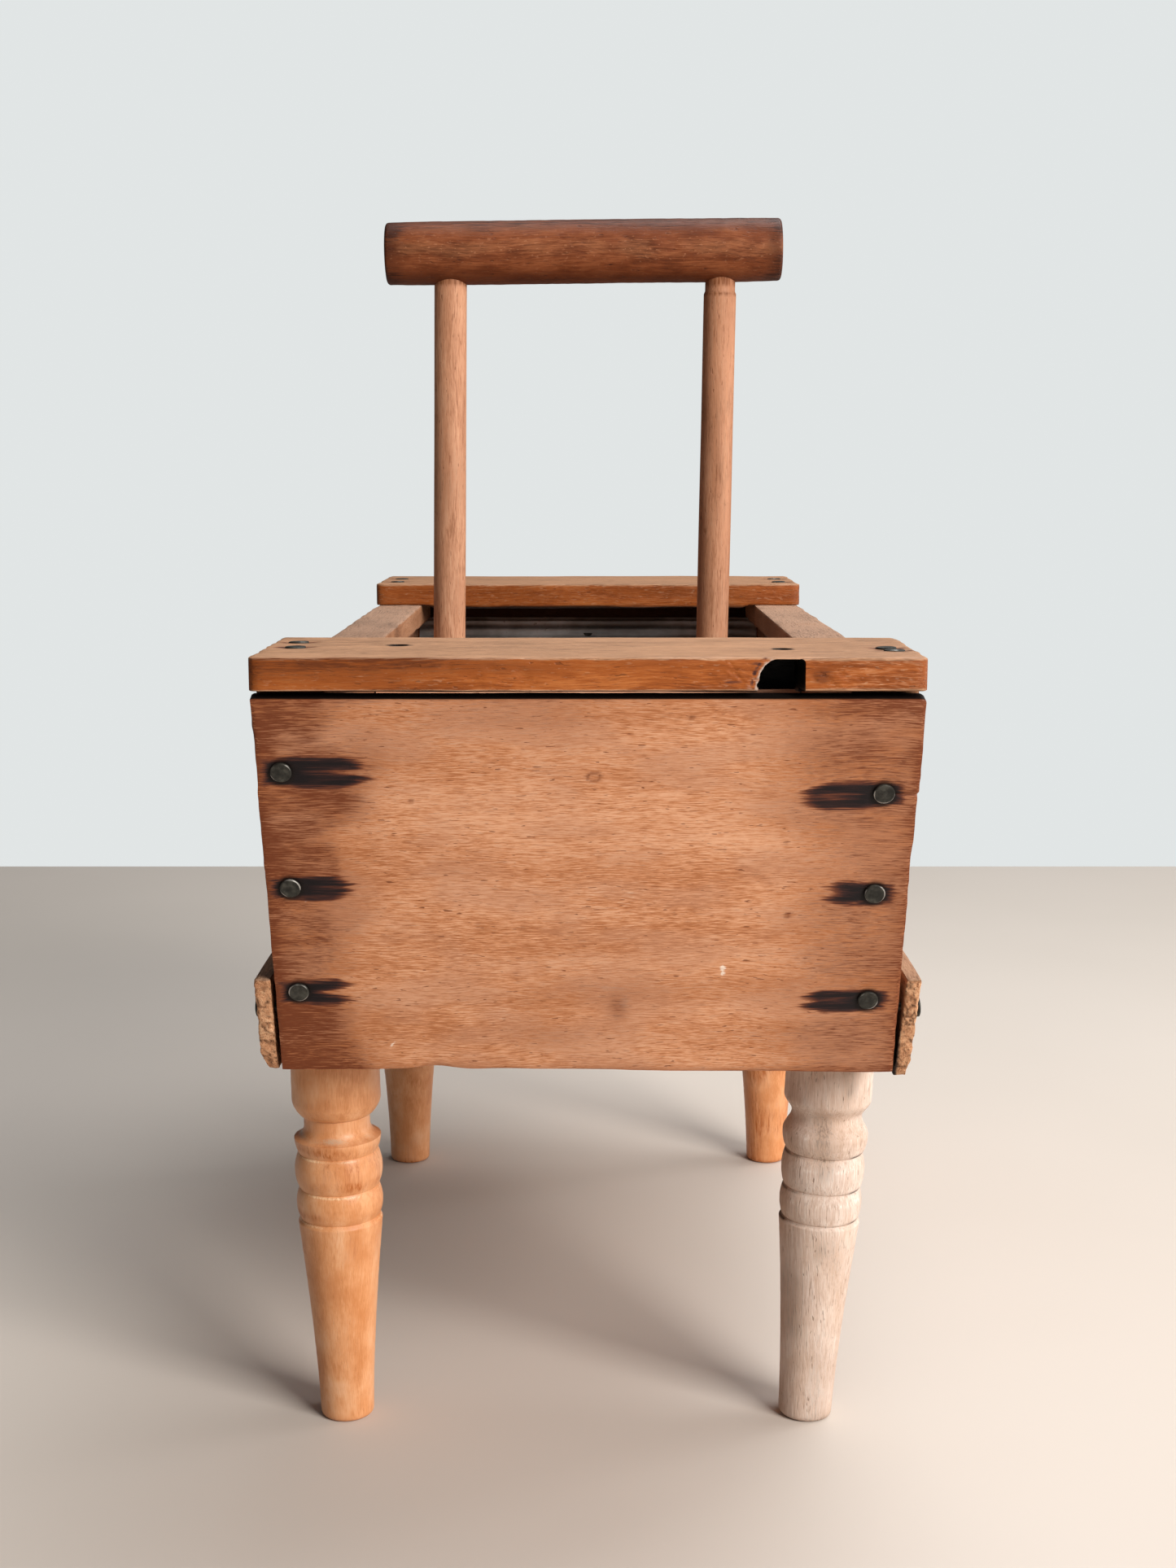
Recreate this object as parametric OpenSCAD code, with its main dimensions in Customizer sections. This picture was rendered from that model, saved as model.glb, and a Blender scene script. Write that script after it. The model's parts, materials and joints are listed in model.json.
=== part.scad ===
// Small hand-made trough table on four turned legs. A T-shaped handle of two dowels and a
// crossbar stands in the middle and rocks a ribbed dasher inside the metal-lined trough.
// Origin: on the floor under the middle of the trough. +Z is up, +X is to the right and
// +Y runs along the trough to its rear end.

/* [Trough] */
// Outside width over the two side boards
trough_w = 164.6; // [150:0.1:180]
// Half of the length at the top outer edge of the sloping end boards
end_top_y = 182.1; // [172:0.1:190]
// Half of the length at the bottom outer edge of the end boards
end_bottom_y = 144.4; // [138:0.1:150]
// Thickness of the two end boards
end_t = 8.5; // [6:0.1:10]
// Thickness of the two side boards
side_t = 12; // [10:0.1:13]
// Thickness of the bottom board
bottom_t = 8.5; // [7:0.1:12]
// Height of the side boards' top edge above the floor
side_top_z = 213; // [208:0.1:218]
// Gap between an end board's top edge and the rail above it
end_gap = 1.2; // [0.5:0.1:3]

/* [Rails and strips] */
// Length of an end rail, across the trough
end_rail_l = 165; // [158:0.1:174]
// Width of an end rail, along the trough
end_rail_w = 58.6; // [45:0.1:62]
// Thickness of the end rails
end_rail_t = 8.3; // [6:0.1:10]
// Width of a side rail
side_rail_w = 17; // [13:0.1:20]
// Thickness of the side rails
side_rail_t = 8.2; // [6:0.1:10]
// Diameter of the two holes through the front rail
rail_hole_d = 5; // [3:0.1:7]
// Thickness of the strip nailed along each side
strip_t = 5.7; // [4:0.1:8]
// Height of that strip
strip_h = 26; // [18:0.1:34]

/* [Legs] */
// Height of a leg, from the floor to the underside of the trough
leg_h = 114.4; // [110:0.1:120]
// Diameter of a leg's top block
leg_top_d = 25.5; // [23:0.1:27]
// Diameter of a leg's foot
leg_foot_d = 15.4; // [13:0.1:18]
// Diameter of the tenon that holds a leg in the bottom board
tenon_d = 9.5; // [7:0.1:10]
// Distance of the leg centres from the middle, along the trough
leg_y = 111; // [95:0.1:118]

/* [Handle and dasher] */
// Length of the crossbar
crossbar_l = 128.6; // [110:0.1:150]
// Diameter of the crossbar
crossbar_d = 20; // [17:0.1:24]
// Height of the crossbar's axis above the floor
crossbar_z = 343.5; // [325:0.1:360]
// Diameter of the two dowels
rod_d = 10.5; // [9:0.1:11]
// Distance between the dowels' axes
rod_gap = 87.1; // [70:0.1:95]
// Height of the shaft's axis above the floor
pivot_z = 198; // [196:0.1:200]
// Diameter of the shaft between the side boards
shaft_d = 19; // [16:0.1:22]
// Length of the dasher, across the trough
dasher_l = 124; // [100:0.1:130]
// Radius of the dasher's curved underside, about the shaft's axis
dasher_r = 70; // [64:0.1:71]

/* [Liner] */
// Thickness of the liner's sheet
liner_t = 0.5; // [0.4:0.1:1]
// Height of the liner's two top edges above the floor
liner_top_z = 212.8; // [200:0.1:212.9]

/* [Nails] */
// Diameter of a nail's head
nail_head_d = 5.6; // [4:0.1:7]
// Diameter of a nail's shank
nail_shank_d = 2.2; // [1.6:0.1:2.6]

/* [Hidden] */

side_x = trough_w / 2;
side_in_x = side_x - side_t;
floor_z = leg_h + bottom_t;
rail_z = side_top_z + side_rail_t;
rail_top_z = rail_z + end_rail_t;
end_top_z = rail_z - end_gap;

// The end boards slope: they are end_run thick when measured level.
end_slope = (end_top_y - end_bottom_y) / (end_top_z - leg_h);
end_angle = atan(end_slope);
end_run = end_t / cos(end_angle);

// Small shared values
rail_round = 2.2;
strip_gap = 1.5;
strip_round = 6;
cut_room = 1;
far = 300;

// Holes and notch of the front rail, each as [x, y]
left_hole = [-49.1, -148];
right_hole = [49.4, -159.7];
notch_x = 47;
notch_r = 6;
notch_h = 7.8;
notch_depth = 16;

// Legs, each as [x at the top, x at the foot, y]: the two front legs lean inwards
front_left = [-72.7, -70.7, -leg_y];
front_right = [69.9, 63.8, -leg_y];
rear_left = [-71.5, -71.5, leg_y];
rear_right = [71.5, 71.5, leg_y];

// Heights of the turned leg's shapes above the floor
foot_round = 1.5;
taper_z = 60;
bead_1_z = 61;
bead_2_z = 70.2;
bead_3_z = 80.8;
ring_z = 85.1;
neck_z = 90.6;
block_z = 95.5;
turn_steps = 8;

// Diameters of the turned shapes: [taper top, grooves, lower bead, upper bead, ring, neck, block]
varnished_turning = [24.3, 22.8, 24.9, 25.3, 24.9, 19, leg_top_d];
bare_turning = [23.3, 21.9, 23.6, 23.9, 24.5, 20.2, leg_top_d - 0.4];

// Handle: the dowels lean a little to the right, and the crossbar's right end is higher
rod_mid_x = -2.65;
rod_lean = 0.77;
crossbar_x = -1.4;
crossbar_lean = 0.7;
rod_into_bar = 9;
rod_into_dasher = 11;
neck_d = 9.5;
neck_l = 5;
shaft_pin_d = 9.5;
shaft_play = 0.07;
shaft_end_play = 0.5;
dasher_top = 50;
dasher_half_y = 34;
groove_d = 4;
groove_step = 6;
brad_d = 1.6;

// Nails: how far a head is let in, how thick it is, and the lengths
head_sink = 0.4;
head_t = 1;
board_nail_l = 18;
rail_nail_l = 22;
strip_nail_l = 14;
bottom_nail_l = 22;
tack_d = 1.2;
tack_head_d = 4;
tack_l = 5;
front_nails = [
    [-76.3, 200.3], [-76.3, 168.6], [-76.3, 138.3],
    [74, 194.6], [73.6, 167], [74, 135.9]
];
rear_nails = [for (x = [-75.5, 75.5], z = [137, 168, 198]) [x, z]];
front_rail_places = [[-76.4, -138.1], [-75.2, -152.6], [76.3, -152.6], [77.4, -161.9]];
rear_rail_places = [for (x = [-76, 76], y = [140, 160]) [x, y]];
strip_nail_z = 132.4;
strip_nail_y = [-146, -70, 0, 70, 146];
bottom_nail_y = [-75, -25, 25, 75];
tack_x = [-55, 0, 55];
tack_slope_z = 207;
tack_floor_y = 125;

$fn = 64;

// Distance of the end boards' outer and inner faces from the middle, at height z
function outer_y(z) = end_bottom_y + (z - leg_h) * end_slope;
function inner_y(z) = outer_y(z) - end_run;

// Stretches of a turned outline as [radius, height] points.
// A bead swells from r0 to r1 and back between two heights.
function bead(z0, z1, r0, r1) =
    [for (i = [0:turn_steps]) let (t = i / turn_steps) [r0 + (r1 - r0) * sin(180 * t), z0 + (z1 - z0) * t]];
// A half bead swells from r0 to r1, and is upright where it ends.
function half_bead(z0, z1, r0, r1) =
    [for (i = [1:turn_steps]) let (t = i / turn_steps) [r0 + (r1 - r0) * sin(90 * t), z0 + (z1 - z0) * t]];
// A quarter round leaves the axis level and ends upright: a cove inwards, a round outwards.
function quarter(z0, z1, r0, r1) =
    [for (i = [1:turn_steps]) let (a = 90 * i / turn_steps)
        [r0 + (r1 - r0) * sin(a), z0 + (z1 - z0) * (1 - cos(a))]];

function leg_outline(d) = concat(
    [[0, -cut_room], [leg_foot_d / 2 - foot_round, -cut_room]],
    [for (a = [-90:30:0]) [leg_foot_d / 2 + foot_round * (cos(a) - 1), foot_round * (1 + sin(a))]],
    [for (t = [0.1:0.1:1]) [(leg_foot_d + (d[0] - leg_foot_d) * pow(t, 1.5)) / 2, taper_z * t]],
    bead(bead_1_z, bead_2_z, d[1] / 2, d[2] / 2),
    bead(bead_2_z, bead_3_z, d[1] / 2, d[3] / 2),
    half_bead(bead_3_z, ring_z, d[1] / 2, d[4] / 2),
    quarter(ring_z, neck_z, d[4] / 2, d[5] / 2),
    quarter(neck_z, block_z, d[5] / 2, d[6] / 2),
    [[d[6] / 2, leg_h + cut_room], [0, leg_h + cut_room]]
);

// Extrudes a Y-Z outline across the trough from x0 to x1
module across(x0, x1) {
    translate([x0, 0, 0]) rotate([90, 0, 90]) linear_extrude(x1 - x0) children();
}

// Outline that fills the space between the two end boards from z0 to z1
module between_ends(z0, z1) {
    polygon([[-inner_y(z0), z0], [inner_y(z0), z0], [inner_y(z1), z1], [-inner_y(z1), z1]]);
}

// Rectangle from the origin with rounded corners
module round_rectangle(w, h, r) {
    translate([r, 0]) square([w - 2 * r, h]);
    translate([0, r]) square([w, h - 2 * r]);
    for (x = [r, w - r], y = [r, h - r]) translate([x, y]) circle(r);
}

module level_slab(z0, z1) {
    translate([-far, -far, z0]) cube([2 * far, 2 * far, z1 - z0]);
}

// A nail whose head lies on the plane z = 0 and whose shank points down
module nail(length, shank_d = nail_shank_d, head_d = nail_head_d) {
    translate([0, 0, -head_sink]) cylinder(h = head_t, d = head_d);
    translate([0, 0, -length]) cylinder(h = length, d = shank_d);
}

// ---- Trough ----

module end_board() {
    across(-side_x + 0.15, side_x - 0.15)
        polygon([
            [-outer_y(leg_h), leg_h], [-outer_y(end_top_z), end_top_z],
            [-inner_y(end_top_z), end_top_z], [-inner_y(leg_h), leg_h]
        ]);
}

module front_end_board() {
    color("#b5764a") difference() {
        end_board();
        front_board_nails();
        left_strip_nails();
        right_strip_nails();
        liner_tacks();
    }
}

module rear_end_board() {
    color("#a86c42") difference() {
        mirror([0, 1, 0]) end_board();
        rear_board_nails();
        left_strip_nails();
        right_strip_nails();
        liner_tacks();
    }
}

module side_board(side) {
    low_x = side > 0 ? side_in_x : -side_x;
    difference() {
        across(low_x, low_x + side_t) between_ends(floor_z, side_top_z);
        translate([low_x - cut_room, 0, pivot_z]) rotate([0, 90, 0])
            cylinder(h = side_t + 2 * cut_room, d = shaft_pin_d + 2 * shaft_play);
        front_board_nails();
        rear_board_nails();
        front_rail_nails();
        rear_rail_nails();
        bottom_nails();
        if (side > 0) right_strip_nails();
        else left_strip_nails();
    }
}

module left_side_board() { color("#9a6238") side_board(-1); }
module right_side_board() { color("#9a6238") side_board(1); }

module bottom_board() {
    color("#a77a4f") difference() {
        across(-side_x, side_x) between_ends(leg_h, floor_z);
        for (leg = [front_left, front_right, rear_left, rear_right]) {
            stand_leg(leg) leg_tenon(cut_room);
        }
        bottom_nails();
        liner_tacks();
    }
}

// ---- Rails and strips ----

module end_rail() {
    across(-end_rail_l / 2, end_rail_l / 2)
        translate([-end_top_y, rail_z]) round_rectangle(end_rail_w, end_rail_t, rail_round);
}

// The notch's front outline: rounded on its left, square on its right
module rail_notch() {
    translate([notch_x, -end_top_y + notch_depth, rail_z]) rotate([90, 0, 0])
        linear_extrude(notch_depth + cut_room) {
            translate([0, notch_h - notch_r]) circle(notch_r);
            translate([0, -cut_room]) square([notch_r, notch_h + cut_room]);
            translate([-notch_r, -cut_room]) square([2 * notch_r, notch_h - notch_r + cut_room]);
        }
}

module front_top_rail() {
    color("#b06a35") difference() {
        end_rail();
        rail_notch();
        for (place = [left_hole, right_hole]) {
            translate([place[0], place[1], rail_z - cut_room])
                cylinder(h = end_rail_t + 2 * cut_room, d = rail_hole_d);
        }
        front_rail_nails();
    }
}

module rear_top_rail() {
    color("#a8734a") difference() {
        mirror([0, 1, 0]) end_rail();
        rear_rail_nails();
    }
}

module side_rail(low_x) {
    difference() {
        across(low_x, low_x + side_rail_w) between_ends(side_top_z, rail_z);
        front_rail_nails();
        rear_rail_nails();
    }
}

module left_top_rail() { color("#a0785a") side_rail(-side_x); }
module right_top_rail() { color("#a0785a") side_rail(side_x - side_rail_w); }

// The strip's ends lie in the end boards' outer faces; its lower corners are rounded.
module strip_outline() {
    z0 = leg_h + strip_gap;
    z1 = z0 + strip_h;
    mid_y = outer_y(z0 + strip_round * (1 - sin(end_angle))) - strip_round * cos(end_angle);
    corner = [for (i = [0:6]) let (a = 270 + (90 - end_angle) * i / 6)
        [mid_y + strip_round * cos(a), z0 + strip_round * (1 + sin(a))]];
    polygon(concat(
        corner,
        [[outer_y(z1), z1], [-outer_y(z1), z1]],
        [for (i = [6:-1:0]) [-corner[i][0], corner[i][1]]]
    ));
}

module left_skirt_strip() {
    color("#be8250") difference() {
        across(-side_x - strip_t, -side_x) strip_outline();
        left_strip_nails();
    }
}

module right_skirt_strip() {
    color("#be8250") difference() {
        across(side_x, side_x + strip_t) strip_outline();
        right_strip_nails();
    }
}

// ---- Legs ----

module stand_leg(leg) {
    translate([leg[0], leg[2], leg_h])
        rotate([0, atan((leg[0] - leg[1]) / leg_h), 0])
        translate([0, 0, -leg_h]) children();
}

module leg_tenon(extra = 0) {
    translate([0, 0, leg_h - cut_room]) cylinder(h = bottom_t + cut_room + 1 + extra, d = tenon_d);
}

module leg(leg, turning) {
    intersection() {
        stand_leg(leg) rotate_extrude() polygon(leg_outline(turning));
        level_slab(0, leg_h);
    }
    intersection() {
        stand_leg(leg) leg_tenon();
        level_slab(leg_h - cut_room / 2, floor_z);
    }
}

module front_left_leg() { color("#d7915a") leg(front_left, varnished_turning); }
module front_right_leg() { color("#c8aa91") leg(front_right, bare_turning); }
module rear_left_leg() { color("#be7346") leg(rear_left, varnished_turning); }
module rear_right_leg() { color("#be7346") leg(rear_right, varnished_turning); }

// ---- Nails ----

module end_nails(places) {
    for (place = places) {
        translate([place[0], -outer_y(place[1]), place[1]])
            rotate([90 + end_angle, 0, 0]) nail(board_nail_l);
    }
}

module rail_nails(places) {
    for (place = places) translate([place[0], place[1], rail_top_z]) nail(rail_nail_l);
}

module strip_nails() {
    for (y = strip_nail_y) {
        translate([side_x + strip_t, y, strip_nail_z]) rotate([0, 90, 0]) nail(strip_nail_l);
    }
}

module front_board_nails() { color("#3c3a32") end_nails(front_nails); }
module rear_board_nails() { color("#3c3a32") mirror([0, 1, 0]) end_nails(rear_nails); }
module front_rail_nails() { color("#3c3a32") rail_nails(front_rail_places); }
module rear_rail_nails() { color("#3c3a32") rail_nails(rear_rail_places); }
module left_strip_nails() { color("#3c3a32") mirror([1, 0, 0]) strip_nails(); }
module right_strip_nails() { color("#3c3a32") strip_nails(); }

module bottom_nails() {
    color("#3c3a32") for (x = [-side_x + side_t / 2, side_x - side_t / 2], y = bottom_nail_y) {
        translate([x, y, leg_h + head_t - head_sink]) rotate([180, 0, 0]) nail(bottom_nail_l);
    }
}

// ---- Liner ----

module ribbed_liner() {
    inner_run = end_run + liner_t / cos(end_angle);
    low_z = floor_z + liner_t;
    color("#b4b4b0") difference() {
        across(-side_in_x + 0.2, side_in_x - 0.2)
            polygon([
                [-inner_y(liner_top_z), liner_top_z], [-inner_y(floor_z), floor_z],
                [inner_y(floor_z), floor_z], [inner_y(liner_top_z), liner_top_z],
                [outer_y(liner_top_z) - inner_run, liner_top_z], [outer_y(low_z) - inner_run, low_z],
                [inner_run - outer_y(low_z), low_z], [inner_run - outer_y(liner_top_z), liner_top_z]
            ]);
        liner_tacks();
    }
}

module slope_tacks() {
    for (x = tack_x) {
        translate([x, -inner_y(tack_slope_z), tack_slope_z])
            rotate([end_angle - 90, 0, 0])
            translate([0, 0, liner_t]) nail(tack_l, tack_d, tack_head_d);
    }
}

module liner_tacks() {
    color("#6e6e6a") {
        slope_tacks();
        mirror([0, 1, 0]) slope_tacks();
        for (x = tack_x, y = [-tack_floor_y, tack_floor_y]) {
            translate([x, y, floor_z + liner_t]) nail(tack_l, tack_d, tack_head_d);
        }
    }
}

// ---- Handle and dasher, which turn together about the shaft ----

// Puts children on a dowel's leaning axis, with z = 0 at the shaft's height
module on_rod(side) {
    translate([rod_mid_x + side * rod_gap / 2, 0, pivot_z]) rotate([0, rod_lean, 0]) children();
}

// A dowel runs from inside the dasher to inside the crossbar. One with a neck is
// thinner from a little below the crossbar upwards.
module rod(side, neck) {
    low = -dasher_top - rod_into_dasher;
    bar_low = crossbar_z - pivot_z - crossbar_d / 2;
    high = bar_low + rod_into_bar;
    full = neck > 0 ? bar_low - neck : high;
    on_rod(side) {
        translate([0, 0, low]) cylinder(h = full - low, d = rod_d);
        translate([0, 0, low]) cylinder(h = high - low, d = neck > 0 ? neck_d : rod_d);
    }
}

module on_crossbar() {
    translate([crossbar_x, 0, crossbar_z]) rotate([0, -crossbar_lean, 0]) children();
}

module brads(z, depth) {
    for (side = [-1, 1]) {
        on_rod(side) translate([0, depth, z]) rotate([-90, 0, 0]) cylinder(h = brad_d, d = 2 * brad_d, $fn = 24);
        on_rod(side) translate([0, 0, z]) rotate([-90, 0, 0]) cylinder(h = depth + brad_d / 2, d = brad_d, $fn = 24);
    }
}

module handle_crossbar() {
    color("#6e3a20") difference() {
        on_crossbar() rotate([0, 90, 0]) rotate_extrude()
            polygon(concat(
                [[0, -crossbar_l / 2]],
                [for (a = [0:15:90]) [crossbar_d / 2 - 1.5 * (1 - sin(a)), -crossbar_l / 2 + 1.5 * (1 - cos(a))]],
                [for (a = [90:-15:0]) [crossbar_d / 2 - 1.5 * (1 - sin(a)), crossbar_l / 2 - 1.5 * (1 - cos(a))]],
                [[0, crossbar_l / 2]]
            ));
        rod(-1, 0);
        rod(1, neck_l);
        crossbar_brads();
    }
}

module left_handle_rod() {
    color("#c89678") difference() {
        rod(-1, 0);
        crossbar_brads();
        shaft_brads();
        dasher_brads();
    }
}

module right_handle_rod() {
    color("#c89678") difference() {
        rod(1, neck_l);
        crossbar_brads();
        shaft_brads();
        dasher_brads();
    }
}

module rocker_shaft() {
    color("#b48c64") difference() {
        translate([0, 0, pivot_z]) rotate([0, 90, 0]) {
            cylinder(h = 2 * (side_in_x - shaft_end_play), d = shaft_d, center = true);
            cylinder(h = 2 * (side_x - shaft_end_play), d = shaft_pin_d, center = true);
        }
        rod(-1, 0);
        rod(1, neck_l);
        shaft_brads();
    }
}

module dasher_block() {
    color("#a07850") difference() {
        translate([0, 0, pivot_z]) across(-dasher_l / 2, dasher_l / 2) difference() {
            intersection() {
                circle(dasher_r);
                translate([-dasher_half_y, -dasher_r]) square([2 * dasher_half_y, dasher_r - dasher_top]);
            }
            for (a = [-4 * groove_step:groove_step:4 * groove_step]) {
                rotate(a) translate([0, -dasher_r]) circle(d = groove_d, $fn = 24);
            }
        }
        rod(-1, 0);
        rod(1, neck_l);
        dasher_brads();
    }
}

module crossbar_brads() { color("#3c3a32") brads(crossbar_z - pivot_z - 4, crossbar_d / 2 - 1.2); }
module shaft_brads() { color("#3c3a32") brads(0, shaft_d / 2 - 0.8); }
module dasher_brads() { color("#3c3a32") brads(-dasher_top - rod_into_dasher / 2, dasher_half_y - 0.8); }

front_end_board();
rear_end_board();
left_side_board();
right_side_board();
bottom_board();
front_top_rail();
rear_top_rail();
left_top_rail();
right_top_rail();
left_skirt_strip();
right_skirt_strip();
front_left_leg();
front_right_leg();
rear_left_leg();
rear_right_leg();
front_board_nails();
rear_board_nails();
front_rail_nails();
rear_rail_nails();
left_strip_nails();
right_strip_nails();
bottom_nails();
ribbed_liner();
liner_tacks();
handle_crossbar();
left_handle_rod();
right_handle_rod();
rocker_shaft();
dasher_block();
crossbar_brads();
shaft_brads();
dasher_brads();
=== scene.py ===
import itertools
import json
import math

import bmesh
import bpy
import numpy as np
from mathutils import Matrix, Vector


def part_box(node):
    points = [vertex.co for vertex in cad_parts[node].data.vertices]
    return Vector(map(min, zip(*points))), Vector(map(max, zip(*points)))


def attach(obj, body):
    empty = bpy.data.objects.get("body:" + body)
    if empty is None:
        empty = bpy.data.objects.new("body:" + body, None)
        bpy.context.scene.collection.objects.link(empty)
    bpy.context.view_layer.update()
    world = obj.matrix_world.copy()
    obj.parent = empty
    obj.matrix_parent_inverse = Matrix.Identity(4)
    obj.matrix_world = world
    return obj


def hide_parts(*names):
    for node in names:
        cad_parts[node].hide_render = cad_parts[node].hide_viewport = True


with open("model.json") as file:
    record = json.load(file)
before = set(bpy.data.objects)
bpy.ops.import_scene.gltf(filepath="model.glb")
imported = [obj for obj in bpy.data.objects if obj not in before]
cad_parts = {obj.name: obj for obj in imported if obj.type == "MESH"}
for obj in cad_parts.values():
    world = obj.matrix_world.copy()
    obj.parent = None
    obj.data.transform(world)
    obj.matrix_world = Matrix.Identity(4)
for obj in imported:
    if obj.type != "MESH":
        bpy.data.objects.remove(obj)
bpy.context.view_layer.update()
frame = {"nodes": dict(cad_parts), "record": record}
nodes = frame["nodes"]
mm = 0.001
seamReach = 2e-6


def softNoise(points, cell, seed):
    # Value noise from -1 to 1: seeded random numbers on a lattice of the given cell size
    # (one number, or one per axis), blended by a smooth step between the eight corners.
    table = np.random.default_rng(seed).random((32, 32, 32))
    place = np.asarray(points) / cell + 64.5
    base = np.floor(place).astype(int)
    part = place - base
    part = part * part * (3 - 2 * part)
    total = np.zeros(len(place))
    for corner in itertools.product((0, 1), repeat=3):
        weight = np.prod(np.where(corner, part, 1 - part), axis=1)
        index = (base + corner) % 32
        total += weight * table[index[:, 0], index[:, 1], index[:, 2]]
    return total * 2 - 1


def smooth(low, high, value):
    # 0 below low, 1 above high, and an S-curve between them
    t = np.clip((value - low) / (high - low), 0, 1)
    return t * t * (3 - 2 * t)


def fade(low, high, distance):
    # The same from two distances given in millimetres
    return smooth(low * mm, high * mm, distance)


def bell(t):
    # 1 at 0, and nearly 0 beyond 2 on either side
    return np.exp(-t ** 2)


def spot(points, x, z, width, height):
    # A soft oval patch on an upright face, in millimetres
    return np.exp(-((points[:, 0] / mm - x) / width) ** 2 - ((points[:, 2] / mm - z) / height) ** 2)


def spots(points, table):
    # The sum of soft oval patches: (amount, x, z, width, height) each
    return sum(amount * spot(points, *place) for amount, *place in table)


def gridQuads(rows, columns, wrap=False):
    # Quads of a grid stored row by row; wrap joins the last column to the first
    row = np.arange(rows - 1)[:, None] * columns
    column = np.arange(columns if wrap else columns - 1)[None, :]
    here, beside = row + column, row + (column + 1) % columns
    return np.stack([here, beside, beside + columns, here + columns], -1).reshape(-1, 4)


def meshPoints(mesh):
    # The corners of a mesh as an array of points, in metres
    flat = np.zeros(len(mesh.vertices) * 3, np.float32)
    mesh.vertices.foreach_get("co", flat)
    return flat.reshape(-1, 3).astype(float)


def nodePoints(name):
    return meshPoints(nodes[name].data)


def limits(name):
    low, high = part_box(name)
    return np.array(low), np.array(high)


def reshaped(mesh, change):
    # Runs one change on an editable copy of a mesh and writes it back
    work = bmesh.new()
    work.from_mesh(mesh)
    change(work)
    work.to_mesh(mesh)
    work.free()
    return mesh


def makeMesh(name, points, quads):
    # Writes the grid into a mesh and merges the points that seams and poles share
    mesh = bpy.data.meshes.new(name)
    mesh.vertices.add(len(points))
    mesh.vertices.foreach_set("co", np.asarray(points, np.float32).ravel())
    mesh.loops.add(len(quads) * 4)
    mesh.loops.foreach_set("vertex_index", np.asarray(quads, np.int32).ravel())
    mesh.polygons.add(len(quads))
    mesh.polygons.foreach_set("loop_start", np.arange(0, len(quads) * 4, 4, dtype=np.int32))
    mesh.update(calc_edges=True)
    return reshaped(mesh, lambda work: bmesh.ops.remove_doubles(work, verts=work.verts, dist=seamReach))


def outwards(mesh):
    # Turns every face of a closed mesh to point outwards
    return reshaped(mesh, lambda work: bmesh.ops.recalc_face_normals(work, faces=work.faces))


def addPiece(name, mesh, body, finish, replaced=()):
    piece = bpy.data.objects.new(name, mesh)
    bpy.context.scene.collection.objects.link(piece)
    mesh.shade_smooth()
    mesh.set_sharp_from_angle(angle=math.radians(42))
    mesh.materials.clear()
    mesh.materials.append(finish)
    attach(piece, body)
    if replaced:
        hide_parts(*replaced)
    return piece


def paint(mesh, **fields):
    # Stores each array as a point attribute that the finishes read
    for name, values in fields.items():
        layer = mesh.attributes.new(name, "FLOAT", "POINT")
        layer.data.foreach_set("value", np.clip(values, 0, 1).astype(np.float32))


def roundedBox(low, high, radius, step, wear=0.4, seed=1, edgeSteps=3, fine=None):
    # A box surface: a flat grid on each side, whose outer band is bent round the edges.
    # Every point is pulled to the inner box and pushed out again by the edge radius,
    # which wanders a little along the edge as wear does. fine = (start, end, step) gives
    # a stretch of X its own smaller step.
    middle, half = (low + high) / 2, (high - low) / 2
    steps = np.broadcast_to(step, 3)
    ticks = []
    for axis, h in enumerate(half):
        band = np.linspace(0, radius, edgeSteps + 1)
        count = max(1, int(round(2 * (h - radius) / steps[axis])))
        inner = np.linspace(radius - h, h - radius, count + 1)
        if fine and axis == 0:
            start, end = fine[0] - middle[0], fine[1] - middle[0]
            dense = np.arange(start, end, fine[2])
            inner = np.concatenate([inner[inner < start - fine[2]], dense, inner[inner > end + fine[2]]])
        ticks.append(np.concatenate([-h + band[:-1], inner, (h - band[:-1])[::-1]]))
    points, quads, offset = [], [], 0
    for axis, side in itertools.product(range(3), (-1, 1)):
        first, second = (axis + 1) % 3, (axis + 2) % 3
        u, v = np.meshgrid(ticks[first], ticks[second], indexing="ij")
        sheet = np.zeros((u.size, 3))
        sheet[:, axis] = side * half[axis]
        sheet[:, first] = u.ravel()
        sheet[:, second] = v.ravel()
        faces = gridQuads(len(ticks[first]), len(ticks[second]))
        if side > 0:
            faces = faces[:, ::-1]
        points.append(sheet)
        quads.append(faces + offset)
        offset += len(sheet)
    flat = np.concatenate(points)
    reach = radius * (1 - wear + wear * softNoise(flat + middle, 0.009, seed))
    core = np.clip(flat, -(half - radius), half - radius)
    out = flat - core
    # a corner of the flat box lies further out than the radius, so its pull is limited
    cornered = np.clip(np.abs(out).max(1, keepdims=True), 0, radius)
    out = out / np.maximum(np.linalg.norm(out, axis=1, keepdims=True), 1e-9)
    amount = np.clip(reach / radius, 0, 1)[:, None]
    placed = flat * (1 - amount) + (core + out * cornered) * amount
    return placed + middle, np.concatenate(quads), out


def lathe(heights, radii, around):
    # Surface of revolution about Z: each row is a ring at one height. The end rings shrink
    # to a point.
    heights = np.concatenate([heights[:1], heights, heights[-1:]])
    radii = np.concatenate([[0], radii, [0]])
    turn = np.linspace(0, 2 * np.pi, around, endpoint=False)
    x = radii[:, None] * np.cos(turn)
    y = radii[:, None] * np.sin(turn)
    z = np.repeat(heights[:, None], around, 1)
    points = np.stack([x, y, z], -1).reshape(-1, 3)
    return points, gridQuads(len(heights), around, wrap=True)


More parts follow.
